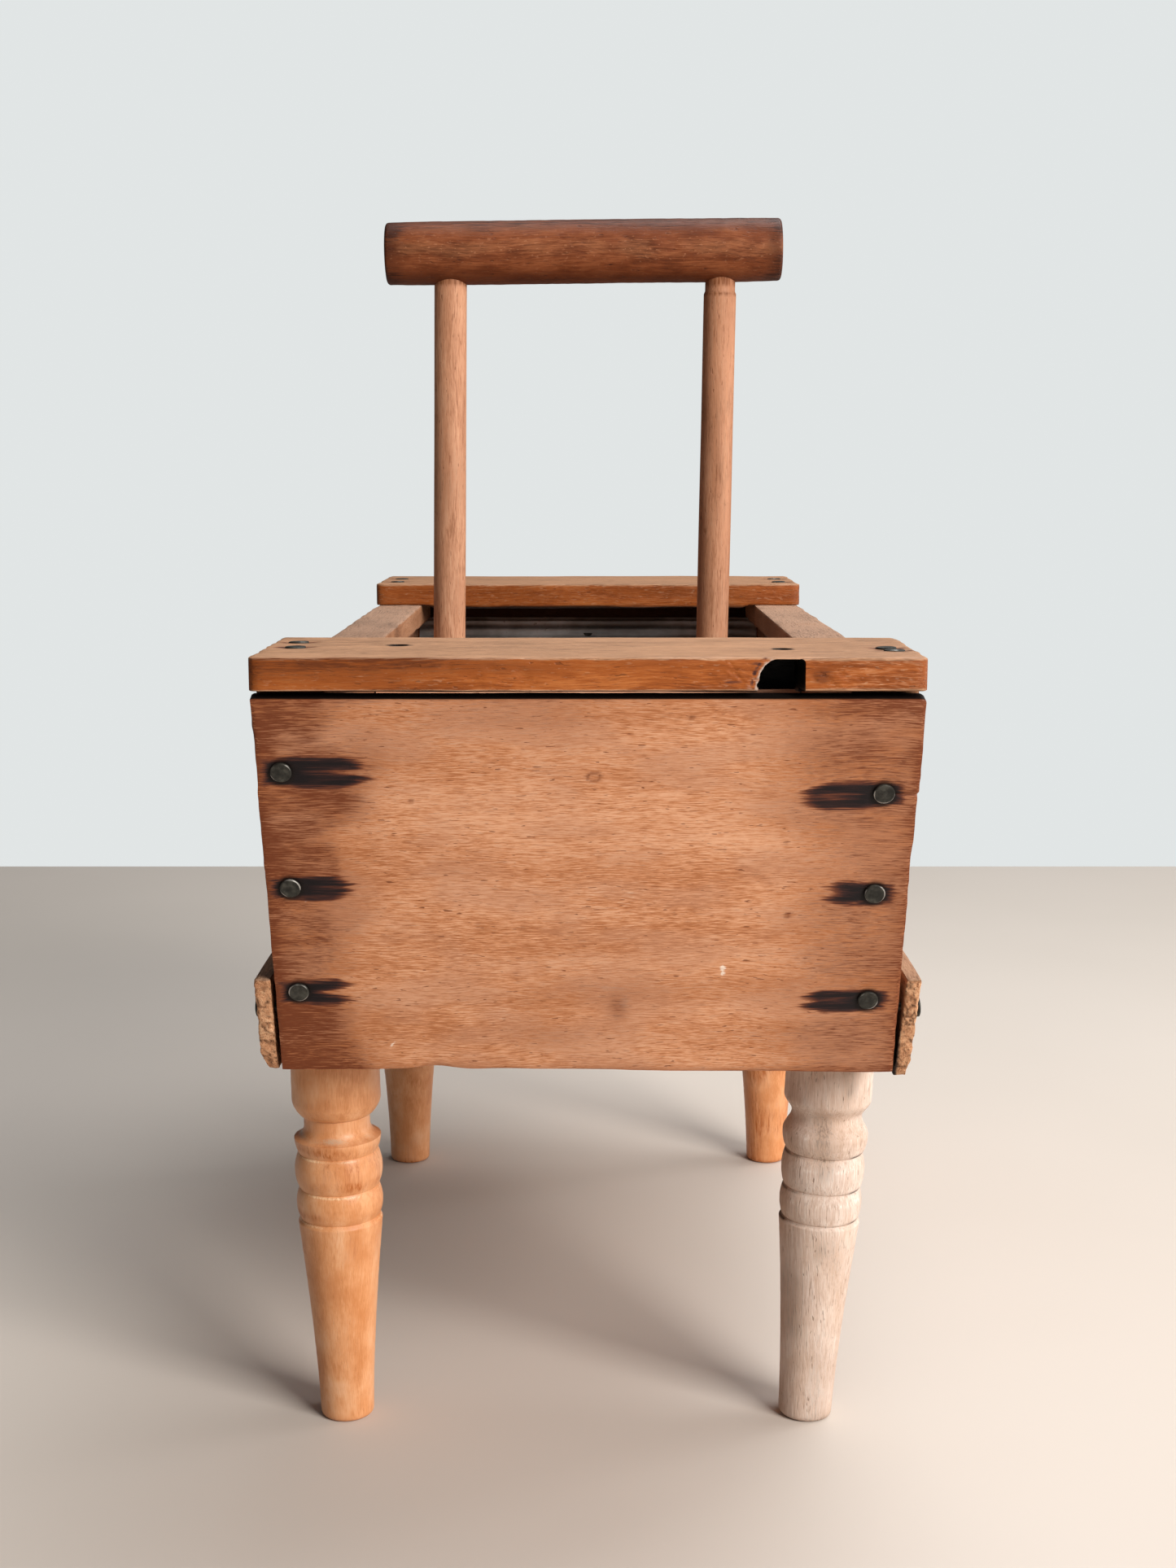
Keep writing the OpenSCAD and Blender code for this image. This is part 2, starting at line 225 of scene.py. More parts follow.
def dropSlivers(shape):
    # Where cut surfaces meet, slivers are merged away and faces lying back to back dropped
    bmesh.ops.remove_doubles(shape, verts=shape.verts, dist=seamReach)
    bmesh.ops.triangulate(shape, faces=shape.faces)
    twins = {}
    for face in shape.faces:
        twins.setdefault(frozenset(corner.index for corner in face.verts), []).append(face)
    doubled = [face for pair in twins.values() if len(pair) > 1 for face in pair]
    bmesh.ops.delete(shape, geom=doubled, context="FACES")


def cutAway(mesh, cutters):
    # Subtracts closed meshes from a mesh and returns the result
    work = bpy.data.objects.new("work", mesh)
    bpy.context.scene.collection.objects.link(work)
    tools = []
    for cutter in cutters:
        tool = bpy.data.objects.new("tool", cutter)
        bpy.context.scene.collection.objects.link(tool)
        modifier = work.modifiers.new("cut", "BOOLEAN")
        modifier.operation = "DIFFERENCE"
        modifier.solver = "EXACT"
        modifier.object = tool
        tools.append(tool)
    bpy.context.view_layer.update()
    graph = bpy.context.evaluated_depsgraph_get()
    result = bpy.data.meshes.new_from_object(work.evaluated_get(graph))
    for thing in [work, *tools]:
        bpy.data.objects.remove(thing)
    return reshaped(result, dropSlivers)


class Value:
    # Wraps a number socket, so that an expression on values adds its Math nodes
    def __init__(self, finish, socket):
        self.finish = finish
        self.socket = socket

    def math(self, operation, other, swap=False):
        inputs = {0: other, 1: self} if swap else {0: self, 1: other}
        return self.finish.node("ShaderNodeMath", {"operation": operation}, inputs)

    def __add__(self, other):
        return self.math("ADD", other)

    def __radd__(self, other):
        return self.math("ADD", other)

    def __sub__(self, other):
        return self.math("SUBTRACT", other)

    def __rsub__(self, other):
        return self.math("SUBTRACT", other, swap=True)

    def __mul__(self, other):
        return self.math("MULTIPLY", other)

    def __rmul__(self, other):
        return self.math("MULTIPLY", other)

    def between(self, low, high):
        # 0 at low, 1 at high, with an S-curve between them
        return self.finish.node("ShaderNodeMapRange", {"interpolation_type": "SMOOTHSTEP"},
                                {"Value": self, "From Min": low, "From Max": high})


class Finish:
    # One material with its Principled shader
    def __init__(self, name):
        self.material = bpy.data.materials.new(name)
        self.material.use_nodes = True
        self.tree = self.material.node_tree
        self.shader = self.tree.nodes["Principled BSDF"]

    def node(self, kind, settings=None, inputs=None, out=0):
        made = self.tree.nodes.new(kind)
        for key, value in (settings or {}).items():
            if key == "stops":
                self.setStops(made.color_ramp, value)
            else:
                setattr(made, key, value)
        for key, value in (inputs or {}).items():
            self.feed(made.inputs[key], value)
        return Value(self, made.outputs[out])

    def setStops(self, ramp, stops):
        while len(ramp.elements) < len(stops):
            ramp.elements.new(0.5)
        for element, (place, colour) in zip(ramp.elements, stops):
            element.position = place
            element.color = (*colour, 1) if len(colour) == 3 else colour

    def feed(self, socket, value):
        if isinstance(value, Value):
            self.tree.links.new(value.socket, socket)
        elif isinstance(value, tuple) and socket.type == "RGBA" and len(value) == 3:
            socket.default_value = (*value, 1)
        else:
            socket.default_value = value

    def set(self, **inputs):
        for key, value in inputs.items():
            self.feed(self.shader.inputs[key.replace("_", " ")], value)

    def place(self):
        return self.node("ShaderNodeTexCoord", out="Object")

    def stretch(self, vector, by):
        by = by if isinstance(by, tuple) else (by, by, by)
        return self.node("ShaderNodeVectorMath", {"operation": "MULTIPLY"}, {0: vector, 1: by})

    def shift(self, vector, by):
        return self.node("ShaderNodeVectorMath", {"operation": "ADD"}, {0: vector, 1: by})

    def noise(self, vector, detail=2.0, rough=0.5, twist=0.0, out=0):
        return self.node("ShaderNodeTexNoise", {"noise_dimensions": "3D"},
                         {"Vector": vector, "Scale": 1.0, "Detail": detail, "Roughness": rough,
                          "Distortion": twist}, out)

    def mix(self, factor, first, second, kind="MIX"):
        return self.node("ShaderNodeMix", {"data_type": "RGBA", "blend_type": kind, "clamp_factor": True},
                         {"Factor": factor, 6: first, 7: second}, out=2)

    def ramp(self, value, stops):
        return self.node("ShaderNodeValToRGB", {"stops": stops}, {0: value})

    def field(self, name):
        return self.node("ShaderNodeAttribute", {"attribute_name": name}, out="Fac")

    def bump(self, height, distance, strength):
        return self.node("ShaderNodeBump", None,
                         {"Height": height, "Distance": distance, "Strength": strength})


# What every wood's look starts from: sizes are (along, across) the grain in mm
woodDefaults = {
    "offset": (0.0, 0.0, 0.0), "weights": {}, "waver": 0.003,
    "band": (60, 5), "fibre": (9, 0.55), "cloud": (34, 14),
    "spread": 0.12, "driftAmount": 0.3, "pore": (4.0, 0.34), "poreAmount": 0.3, "tick": (3.4, 0.8),
    "tickAmount": 0.6, "rawAndHighlightAmount": 0.8, "fleck": (2.6, 0.6), "fleckAmount": 0.12, "rawAndHighlightFlecks": 0.3,
    "grimeAndShadeAmount": 1.0, "grimeAndShadeColour": (0.11, 0.032, 0.012), "ashColour": (0.36, 0.30, 0.27),
    "roughness": 0.5, "relief": 0.35, "gloss": 0.18,
}


def woodFinish(name, look):
    # Wood: long soft bands, fine fibres, pores, ticks and pale flecks, all stretched along
    # the grain, over slow clouds; painted fields add iron stain, grime with painted shade, ash,
    # raw wood with painted highlights, and near-black painted shade.
    dark, middle, pale = look["colours"]
    toned = {"driftColour": middle, "poreColour": dark, "rawAndHighlightColour": pale, "fleckColour": pale}
    look = {**woodDefaults, **toned, **look}
    f = Finish(name)
    here = f.shift(f.place(), look["offset"])
    wander = f.noise(f.stretch(here, 28.0), 1.0, out="Color")
    wander = f.shift(wander, (-0.5, -0.5, -0.5))
    amount = look["waver"]
    bent = f.node("ShaderNodeVectorMath", {"operation": "MULTIPLY_ADD"},
                  {0: wander, 1: (amount, amount, amount), 2: here})

    def along(size, base=bent):
        scale = [1 / (size[1] * mm)] * 3
        scale[look["axis"]] = 1 / (size[0] * mm)
        return f.stretch(base, tuple(scale))

    weights = {"band": 0.3, "fibre": 0.6, "cloud": 0.5, "hair": 0.25, "mottle": 0.1, **look["weights"]}
    parts = {
        "band": f.noise(along(look["band"]), 2.0),
        "fibre": f.noise(along(look["fibre"]), 3.0, 0.62),
        "cloud": f.noise(along(look["cloud"], here), 3.0, 0.55),
        "hair": f.noise(along((3.2, 0.24)), 2.0, 0.6),
        "mottle": f.noise(f.stretch(here, 420.0), 2.0, 0.6),
    }
    tone = sum(parts[key] * (weights[key] / sum(weights.values())) for key in weights)
    spread = look["spread"]
    colour = f.ramp(tone.between(0.5 - spread, 0.5 + spread), [(0.0, dark), (0.5, middle), (1.0, pale)])
    drift = f.noise(f.shift(along((26, 11), here), (3.1, 5.7, 2.2)), 2.0).between(0.42, 0.62)
    colour = f.mix(drift * look["driftAmount"], colour, look["driftColour"])
    hair, fibre = parts["hair"], parts["fibre"]
    pores = f.noise(along(look["pore"]), 2.0, 0.5).between(0.60, 0.72)
    colour = f.mix(pores * look["poreAmount"], colour, look["poreColour"])
    ticks = f.noise(f.shift(along(look["tick"]), (2.7, 8.1, 1.3)), 1.0).between(0.70, 0.76)
    colour = f.mix(ticks * look["tickAmount"], colour, look["poreColour"])
    # raw wood, and on the varnished turnings a painted highlight just under each groove
    raw = (f.field("raw") + (hair - 0.5) * 0.6 + (fibre - 0.5) * 0.4).between(0.3, 0.7)
    rawAndHighlightMiddle = look["rawAndHighlightColour"]
    grain = (fibre * 0.5 + hair * 0.3 + parts["cloud"] * 0.2).between(0.36, 0.64)
    rawAndHighlightTone = f.ramp(grain, [(0.0, tuple(c * 0.55 for c in rawAndHighlightMiddle)), (0.5, rawAndHighlightMiddle),
                             (1.0, tuple(min(1.0, c * 1.25) for c in rawAndHighlightMiddle))])
    colour = f.mix(raw * look["rawAndHighlightAmount"], colour, rawAndHighlightTone)
    flecks = f.noise(f.shift(along(look["fleck"]), (7.3, 1.9, 4.1)), 2.0, 0.5)
    flecks = flecks.between(0.62, 0.70) * (look["fleckAmount"] + f.field("raw") * look["rawAndHighlightFlecks"])
    colour = f.mix(flecks, colour, look["fleckColour"])
    uneven = 1.0 + (fibre - 0.5) * 3.0 + (hair - 0.5) * 1.6 + (parts["cloud"] - 0.5) * 1.2
    # grime, plus painted shade that some pieces put on undersides, inner faces and under rails
    grime = (f.field("grime") * uneven + (fibre - 0.5) * 0.25).between(0.03, 0.95)
    colour = f.mix(grime * look["grimeAndShadeAmount"], colour, look["grimeAndShadeColour"])
    ash = (f.field("ash") + (hair - 0.5) * 0.7).between(0.2, 0.9)
    colour = f.mix(ash, colour, look["ashColour"])
    streaks = f.noise(f.shift(along((13, 0.55)), (1.1, 4.4, 6.2)), 2.0, 0.6)
    stain = f.field("stain") + (streaks - 0.5) * 0.85 + (hair - 0.5) * 0.2
    ink = f.ramp(stain.between(0.35, 1.0), [(0.0, (0.22, 0.066, 0.026)), (0.3, (0.115, 0.034, 0.018)),
                                            (0.65, (0.032, 0.013, 0.012)), (1.0, (0.009, 0.006, 0.007))])
    colour = f.mix(stain.between(0.36, 0.60), colour, ink)
    # near-black painted shade in gaps, the notch, hole mouths, grooves and round nail heads
    colour = f.mix(f.field("black"), colour, (0.008, 0.005, 0.004))
    rough = look["roughness"] + (fibre - 0.5) * 0.25
    height = fibre * 0.6 + hair * 0.3 - pores * 0.5 - ticks * 0.8 + parts["band"] * 0.2
    f.set(Base_Color=colour, Roughness=rough, Normal=f.bump(height, look["relief"] * mm, 0.55))
    f.set(Specular_IOR_Level=look["gloss"])
    return f.material


boardLook = {
    "axis": 0, "fibre": (6.0, 0.26), "cloud": (42, 11), "tick": (3.0, 0.5), "relief": 0.15,
    "weights": {"band": 0.1, "fibre": 0.6, "cloud": 0.32, "hair": 0.6, "mottle": 0.1}, "tickAmount": 0.8,
    "colours": ((0.40, 0.14, 0.052), (0.60, 0.260, 0.122), (0.74, 0.395, 0.235)), "spread": 0.105,
    "rawAndHighlightColour": (0.86, 0.70, 0.58), "rawAndHighlightAmount": 0.9, "rawAndHighlightFlecks": 0.0,
    "driftColour": (0.52, 0.262, 0.158), "driftAmount": 0.4, "poreColour": (0.18, 0.052, 0.02),
    "grimeAndShadeColour": (0.165, 0.042, 0.014), "ashColour": (0.44, 0.30, 0.225), "roughness": 0.52,
}
railLook = {
    "axis": 0, "offset": (0.3, 0.2, 0.1), "weights": {"hair": 0.4, "band": 0.4}, "band": (40, 3.5),
    "colours": ((0.20, 0.047, 0.008), (0.34, 0.088, 0.017), (0.48, 0.155, 0.040)),
    "rawAndHighlightColour": (0.45, 0.245, 0.138), "rawAndHighlightAmount": 0.92, "fleckAmount": 0.16, "rawAndHighlightFlecks": 0.34,
    "fleckColour": (0.62, 0.37, 0.22), "poreColour": (0.12, 0.035, 0.012), "roughness": 0.46,
    "grimeAndShadeColour": (0.13, 0.032, 0.008), "ashColour": (0.56, 0.46, 0.39),
}
sideLook = {
    "axis": 1, "offset": (0.1, 0.5, 0.7),
    "colours": ((0.24, 0.095, 0.042), (0.40, 0.18, 0.088), (0.52, 0.27, 0.15)),
    "rawAndHighlightColour": (0.45, 0.275, 0.185), "rawAndHighlightAmount": 0.9, "roughness": 0.55,
    "fleckColour": (0.66, 0.46, 0.34),
}
stripLook = {
    "axis": 1, "offset": (0.8, 0.2, 0.4), "spread": 0.15, "weights": {"fibre": 0.9, "hair": 0.5},
    "colours": ((0.20, 0.072, 0.028), (0.52, 0.25, 0.125), (0.74, 0.46, 0.27)),
    "rawAndHighlightColour": (0.32, 0.19, 0.12), "poreAmount": 0.6, "roughness": 0.62, "relief": 0.6,
    "grimeAndShadeColour": (0.085, 0.032, 0.013),
}
# Varnished turning: its raw colour also paints the highlight just under each groove
varnishLook = {
    "axis": 2, "offset": (0.2, 0.9, 0.3), "spread": 0.16, "cloud": (14, 8),
    "weights": {"band": 0.15, "fibre": 0.25, "cloud": 0.7, "hair": 0.3}, "fibre": (7, 0.8),
    "colours": ((0.57, 0.215, 0.072), (0.74, 0.345, 0.155), (0.83, 0.47, 0.265)),
    "driftColour": (0.63, 0.235, 0.075), "poreAmount": 0.12, "tickAmount": 0.1,
    "poreColour": (0.42, 0.14, 0.04), "roughness": 0.38, "relief": 0.12, "gloss": 0.32,
    "rawAndHighlightColour": (0.86, 0.56, 0.33), "grimeAndShadeColour": (0.42, 0.115, 0.022), "ashColour": (0.52, 0.38, 0.27),
}
bareLook = {
    "axis": 2, "offset": (0.6, 0.1, 0.8), "spread": 0.16, "cloud": (16, 9),
    "colours": ((0.46, 0.32, 0.24), (0.64, 0.49, 0.405), (0.77, 0.66, 0.58)),
    "driftColour": (0.58, 0.38, 0.26), "poreAmount": 0.3, "poreColour": (0.24, 0.16, 0.11),
    "roughness": 0.7, "relief": 0.4, "rawAndHighlightColour": (0.82, 0.75, 0.68), "grimeAndShadeColour": (0.20, 0.135, 0.095),
    "ashColour": (0.25, 0.21, 0.18),
}
dowelLook = {
    "axis": 2, "offset": (0.4, 0.6, 0.1), "spread": 0.14, "fibre": (10, 0.7), "cloud": (40, 6),
    "colours": ((0.34, 0.142, 0.070), (0.56, 0.268, 0.150), (0.70, 0.39, 0.24)),
    "weights": {"band": 0.2, "fibre": 0.8, "hair": 0.5}, "poreAmount": 0.5, "relief": 0.25,
    "poreColour": (0.26, 0.095, 0.042), "grimeAndShadeColour": (0.20, 0.065, 0.022),
}
barLook = {
    "axis": 0, "offset": (0.9, 0.3, 0.6), "spread": 0.15, "cloud": (14, 6), "weights": {"cloud": 0.8},
    "colours": ((0.085, 0.020, 0.006), (0.175, 0.045, 0.014), (0.29, 0.092, 0.034)),
    "driftColour": (0.22, 0.055, 0.018), "rawAndHighlightColour": (0.31, 0.115, 0.048), "rawAndHighlightAmount": 0.55,
    "fleck": (1.5, 0.8), "fleckAmount": 0.12, "rawAndHighlightFlecks": 0.55, "fleckColour": (0.46, 0.20, 0.10),
    "poreColour": (0.05, 0.013, 0.005), "relief": 0.3, "grimeAndShadeColour": (0.045, 0.012, 0.005),
}

boardFinish = woodFinish("oiled board", boardLook)
railFinish = woodFinish("rubbed rail", railLook)
sideFinish = woodFinish("side wood", sideLook)
stripFinish = woodFinish("strip wood", stripLook)
varnishFinish = woodFinish("varnished turning", varnishLook)
bareFinish = woodFinish("bare turning", bareLook)
dowelFinish = woodFinish("dowel wood", dowelLook)
shaftFinish = woodFinish("shaft wood", {**dowelLook, "axis": 0})
barFinish = woodFinish("handled crossbar", barLook)


def ironFinish():
    # Blackened nail iron: mottled dark scale, bright where the head's rim was struck
    f = Finish("nail iron")
    here = f.place()
    scale = f.noise(f.stretch(here, 480.0), 3.0, 0.55)
    colour = f.ramp(scale.between(0.3, 0.7), [(0.0, (0.016, 0.015, 0.012)), (0.6, (0.034, 0.032, 0.026)),
                                              (1.0, (0.060, 0.057, 0.046))])
    rim = (f.field("rim") + (scale - 0.5) * 0.5).between(0.35, 0.85)
    colour = f.mix(rim, colour, (0.42, 0.40, 0.37))
    f.set(Base_Color=colour, Metallic=0.2 + rim * 0.5, Roughness=0.55 - rim * 0.2, Specular_IOR_Level=0.25,
          Normal=f.bump(scale, 0.08 * mm, 0.5))
    return f.material


def zincFinish():
    # Old zinc sheet: cloudy grey with darker spots and dull patches
    f = Finish("zinc sheet")
    here = f.place()
    cloud = f.noise(f.stretch(here, 55.0), 3.0, 0.6)
    spots = f.noise(f.stretch(here, 420.0), 2.0, 0.6)
    colour = f.ramp(cloud.between(0.3, 0.7), [(0.0, (0.28, 0.28, 0.275)), (0.5, (0.46, 0.465, 0.46)),
                                              (1.0, (0.62, 0.63, 0.63))])
    rust = (spots * 0.6 + cloud * 0.4).between(0.60, 0.70)
    colour = f.mix(rust * 0.7, colour, (0.10, 0.055, 0.03))
    f.set(Base_Color=colour, Metallic=0.25 - rust * 0.2, Roughness=0.45 + (spots - 0.5) * 0.3 + rust * 0.3,
          Normal=f.bump(spots, 0.1 * mm, 0.4))
    return f.material


nailFinish = ironFinish()
linerFinish = zincFinish()
print("finishes made")

cameraLook = {"place": (0.0, -0.6748, 0.276), "downDegrees": 8.95, "lens": 46.7}
lightLook = {
    "key": {"place": (1.05, -1.20, 0.95), "size": 0.8, "watts": 37.0, "colour": (1.0, 0.975, 0.94)},
    "top": {"place": (0.35, 0.30, 1.35), "size": 0.9, "watts": 15.0, "colour": (0.95, 0.98, 1.0)},
    "side": {"place": (1.5, 0.25, 0.55), "size": 0.9, "watts": 10.0, "colour": (0.96, 0.98, 1.0)},
    "aim": (0.0, 0.0, 0.16), "worldSeen": (0.755, 0.785, 0.785), "worldLight": 0.08,
    "worldColour": (0.86, 0.93, 1.0),
}


def buildCamera():
    data = bpy.data.cameras.new("camera")
    data.lens = cameraLook["lens"]
    camera = bpy.data.objects.new("camera", data)
    camera.location = cameraLook["place"]
    camera.rotation_euler = (math.radians(90 - cameraLook["downDegrees"]), 0, 0)
    bpy.context.scene.collection.objects.link(camera)
    bpy.context.scene.camera = camera


def buildLights():
    for name in ("key", "top", "side"):
        look = lightLook[name]
        data = bpy.data.lights.new(name, "AREA")
        data.energy = look["watts"]
        data.size = look["size"]
        data.color = look["colour"]
        lamp = bpy.data.objects.new(name, data)
        lamp.location = look["place"]
        way = np.subtract(lightLook["aim"], look["place"])
        flat = math.hypot(way[0], way[1])
        lamp.rotation_euler = (math.atan2(flat, -way[2]), 0, math.atan2(way[1], way[0]) - math.pi / 2)
        bpy.context.scene.collection.objects.link(lamp)
    world = bpy.data.worlds.new("studio")
    world.use_nodes = True
    bpy.context.scene.world = world
    tree = world.node_tree
    seen = tree.nodes["Background"]
    seen.inputs["Color"].default_value = (*lightLook["worldSeen"], 1)
    lit = tree.nodes.new("ShaderNodeBackground")
    lit.inputs["Color"].default_value = (*lightLook["worldColour"], 1)
    lit.inputs["Strength"].default_value = lightLook["worldLight"]
    path = tree.nodes.new("ShaderNodeLightPath")
    pick = tree.nodes.new("ShaderNodeMixShader")
    tree.links.new(path.outputs["Is Camera Ray"], pick.inputs[0])
    tree.links.new(lit.outputs[0], pick.inputs[1])
    tree.links.new(seen.outputs[0], pick.inputs[2])
    tree.links.new(pick.outputs[0], tree.nodes["World Output"].inputs["Surface"])


floorLook = {"half": 2.4, "back": 0.71, "front": -2.0}


def buildFloor():
    # A pale level sheet that ends behind the object, where the pale backdrop begins
    f = Finish("pale floor")
    cloud = f.noise(f.stretch(f.place(), 3.0), 3.0)
    colour = f.ramp(cloud, [(0.3, (0.60, 0.53, 0.465)), (0.7, (0.64, 0.565, 0.50))])
    f.set(Base_Color=colour, Roughness=0.75)
    columns, rows = 45, 31
    across = np.linspace(-floorLook["half"], floorLook["half"], columns)
    deep = np.linspace(floorLook["front"], floorLook["back"], rows)
    x, y = np.meshgrid(across, deep, indexing="ij")
    points = np.stack([x.ravel(), y.ravel(), np.zeros(x.size)], -1)
    mesh = makeMesh("floor", points, gridQuads(columns, rows)[:, ::-1])
    mesh.materials.append(f.material)
    floor = bpy.data.objects.new("floor", mesh)
    bpy.context.scene.collection.objects.link(floor)


buildCamera()
buildLights()
buildFloor()
bpy.context.scene.view_settings.view_transform = "Standard"
print("camera, light and floor made")


def nailHeads(name, outward):
    # The middle of each head in a nail node: points are gathered by how far apart they lie
    # across the nails' direction, and the head is the furthest one outwards.
    points = nodePoints(name)
    outward = np.array(outward, float)
    outward /= np.linalg.norm(outward)
    depth = points @ outward
    flat = points - depth[:, None] * outward
    left = np.ones(len(points), bool)
    apart = 7 * mm
    heads = []
    while left.any():
        seed = flat[left][0]
        mine = left & (np.linalg.norm(flat - seed, axis=1) < apart)
        heads.append((flat[mine].min(0) + flat[mine].max(0)) / 2 + depth[mine].max() * outward)
        left &= ~mine
    return np.array(heads)


def endSlope(name):
    # Level thickness and slope of a sloping end board, read from its four outer corners
    points = nodePoints(name)
    low = points[points[:, 2] < points[:, 2].min() + 0.1 * mm]
    high = points[points[:, 2] > points[:, 2].max() - 0.1 * mm]
    outerLow, outerHigh = np.abs(low[:, 1]).max(), np.abs(high[:, 1]).max()
    rise = points[:, 2].max() - points[:, 2].min()
    return np.ptp(np.abs(low[:, 1])), (outerHigh - outerLow) / rise, outerLow


endRun, endRise, endFoot = endSlope("front_end_board")
undersideZ = limits("bottom_board")[0][2]
endAngle = math.atan(endRise)
frontOut = (0, -math.cos(endAngle), -math.sin(endAngle))
rearOut = (0, math.cos(endAngle), -math.sin(endAngle))
nailSets = {
    "front_board_nails": {"detail": "nailsFrontBoard", "outward": frontOut, "length": 23.0, "sink": 0.0},
    "rear_board_nails": {"detail": "nailsRearBoard", "outward": rearOut, "length": 23.0, "sink": 0.0},
    "front_rail_nails": {"detail": "nailsFrontRail", "outward": (0, 0, 1), "length": 24.0, "sink": 0.5},
    "rear_rail_nails": {"detail": "nailsRearRail", "outward": (0, 0, 1), "length": 24.0, "sink": 0.5},
    "left_strip_nails": {"detail": "nailsLeftStrip", "outward": (-1, 0, 0), "length": 13.0, "sink": 0.0},
    "right_strip_nails": {"detail": "nailsRightStrip", "outward": (1, 0, 0), "length": 13.0, "sink": 0.0},
}
nailPlaces = {node: nailHeads(node, look["outward"]) for node, look in nailSets.items()}


def streak(points, head, reach, height, back=4.0, split=0.0, across=2, lean=0.0, gape=0.28):
    # Stain field round a nail: 0.5 at the outline and 0 outside. It runs along X towards the
    # middle of the board, split cuts its far end into two tails, and it is darkest at the
    # nail and along its upper and lower edges, with a browner middle.
    way = -np.sign(head[0]) if head[0] else 1.0
    s = (points[:, 0] - head[0]) * way / mm
    size = height * (0.78 + 0.22 * smooth(-3, 5, s))
    t = (points[:, across] - head[across]) / mm / size - lean * s / max(reach, 1)
    taper = 1 - 0.75 * np.clip(np.abs(t) - 0.4, 0, 1) ** 1.5
    far = reach * (1 - split * bell(t / gape)) * taper
    inside = np.minimum(np.minimum((far - s) / 3.2, (1 - np.abs(t)) * size), (s + back) / 1.8)
    edges = 1 - bell(t / 0.26)
    close = bell((points[:, 0] - head[0]) / (5 * mm)) * bell((points[:, across] - head[across]) / (5 * mm))
    return np.clip(np.minimum(0.5 + inside * 0.27, 0.70 + 0.17 * edges + 0.5 * close), 0, 1)


endBoardLook = {"edge": 1.3, "step": (0.72, 1.6, 0.72), "wave": 0.05, "widen": 0.45, "topGap": 0.7,
                "dentWidth": 4.2}
# How far each stain reaches, its half height, the split of its tip, its slant and how wide
# the split opens, from the top nail down
stainShapes = {
    -1: [(22, 4.4, 0.4, 0.02, 0.13), (16, 3.6, 0.05, 0.08, 0.2), (15.5, 3.9, 0.6, 0.04, 0.32)],
    1: [(20.5, 3.9, 0.03, -0.3, 0.2), (13, 3.4, 0.3, 0.1, 0.25), (18, 3.5, 0.18, -0.12, 0.25)],
}
# Soft oval patches on the end boards, of which only "right" is on both: amount, x, z, width
# and height in mm
boardMarks = {
    "grime": [(-0.22, -70, 209, 9, 6), (-0.18, -62, 184, 8, 5), (-0.12, -65, 141, 8, 3.5),
              (-0.12, -50, 152, 9, 8), (-0.16, 41, 166, 13, 6), (-0.12, -4, 158, 22, 6),
              (0.16, -56, 206, 13, 8), (0.24, 24, 139, 34, 4.5), (0.16, 0, 125.5, 60, 4),
              (0.15, 0, 215, 55, 4), (0.42, 8, 133, 3, 4), (0.14, -4, 150, 26, 3), (0.12, -20, 136, 24, 3.5),
              (0.75, -44.3, 192.5, 0.9, 0.55), (0.75, -61.6, 193.6, 0.9, 0.55),
              (0.75, 25.4, 214.6, 0.9, 0.55), (0.75, 51.6, 160.8, 0.9, 0.55), (0.75, -17, 157, 0.9, 0.55)],
    "right": [(0.30, 69, 216.5, 15, 2.6), (0.18, 66, 209, 17, 7)],
    "raw": [(1.3, 35.3, 145.3, 0.7, 0.7), (1.1, 35.5, 143.6, 0.55, 0.55)],
    "dry": [(0.25, 2, 168, 50, 16), (0.28, -28, 131, 25, 9), (0.20, 48, 150, 16, 9)],
    "ash": [(0.42, 5, 139.5, 4.5, 1.1), (0.38, 9.5, 135, 2.2, 4), (0.25, -42, 182, 7, 8),
            (0.22, 2.5, 199, 2, 1.6)],
}


def faceDepth(points, side):
    # How deep each point lies behind the sloping outer face, measured level
    return endFoot + (points[:, 2] - undersideZ) * endRise - side * points[:, 1]


def boardStain(points, heads):
    stain = np.zeros(len(points))
    for hand, shapes in stainShapes.items():
        mine = heads[np.sign(heads[:, 0]) == hand]
        for head, (reach, height, split, slant, gape) in zip(mine[np.argsort(-mine[:, 2])], shapes):
            stain = np.maximum(stain, streak(points, head, reach, height, 5.0, split, lean=slant, gape=gape))
    # brown seepage from the right-hand nails out to the edge
    for head in heads[heads[:, 0] > 0]:
        stain = np.maximum(stain, 0.5 * spot(points, head[0] / mm + 5, head[2] / mm, 4.5, 1.4))
    return stain


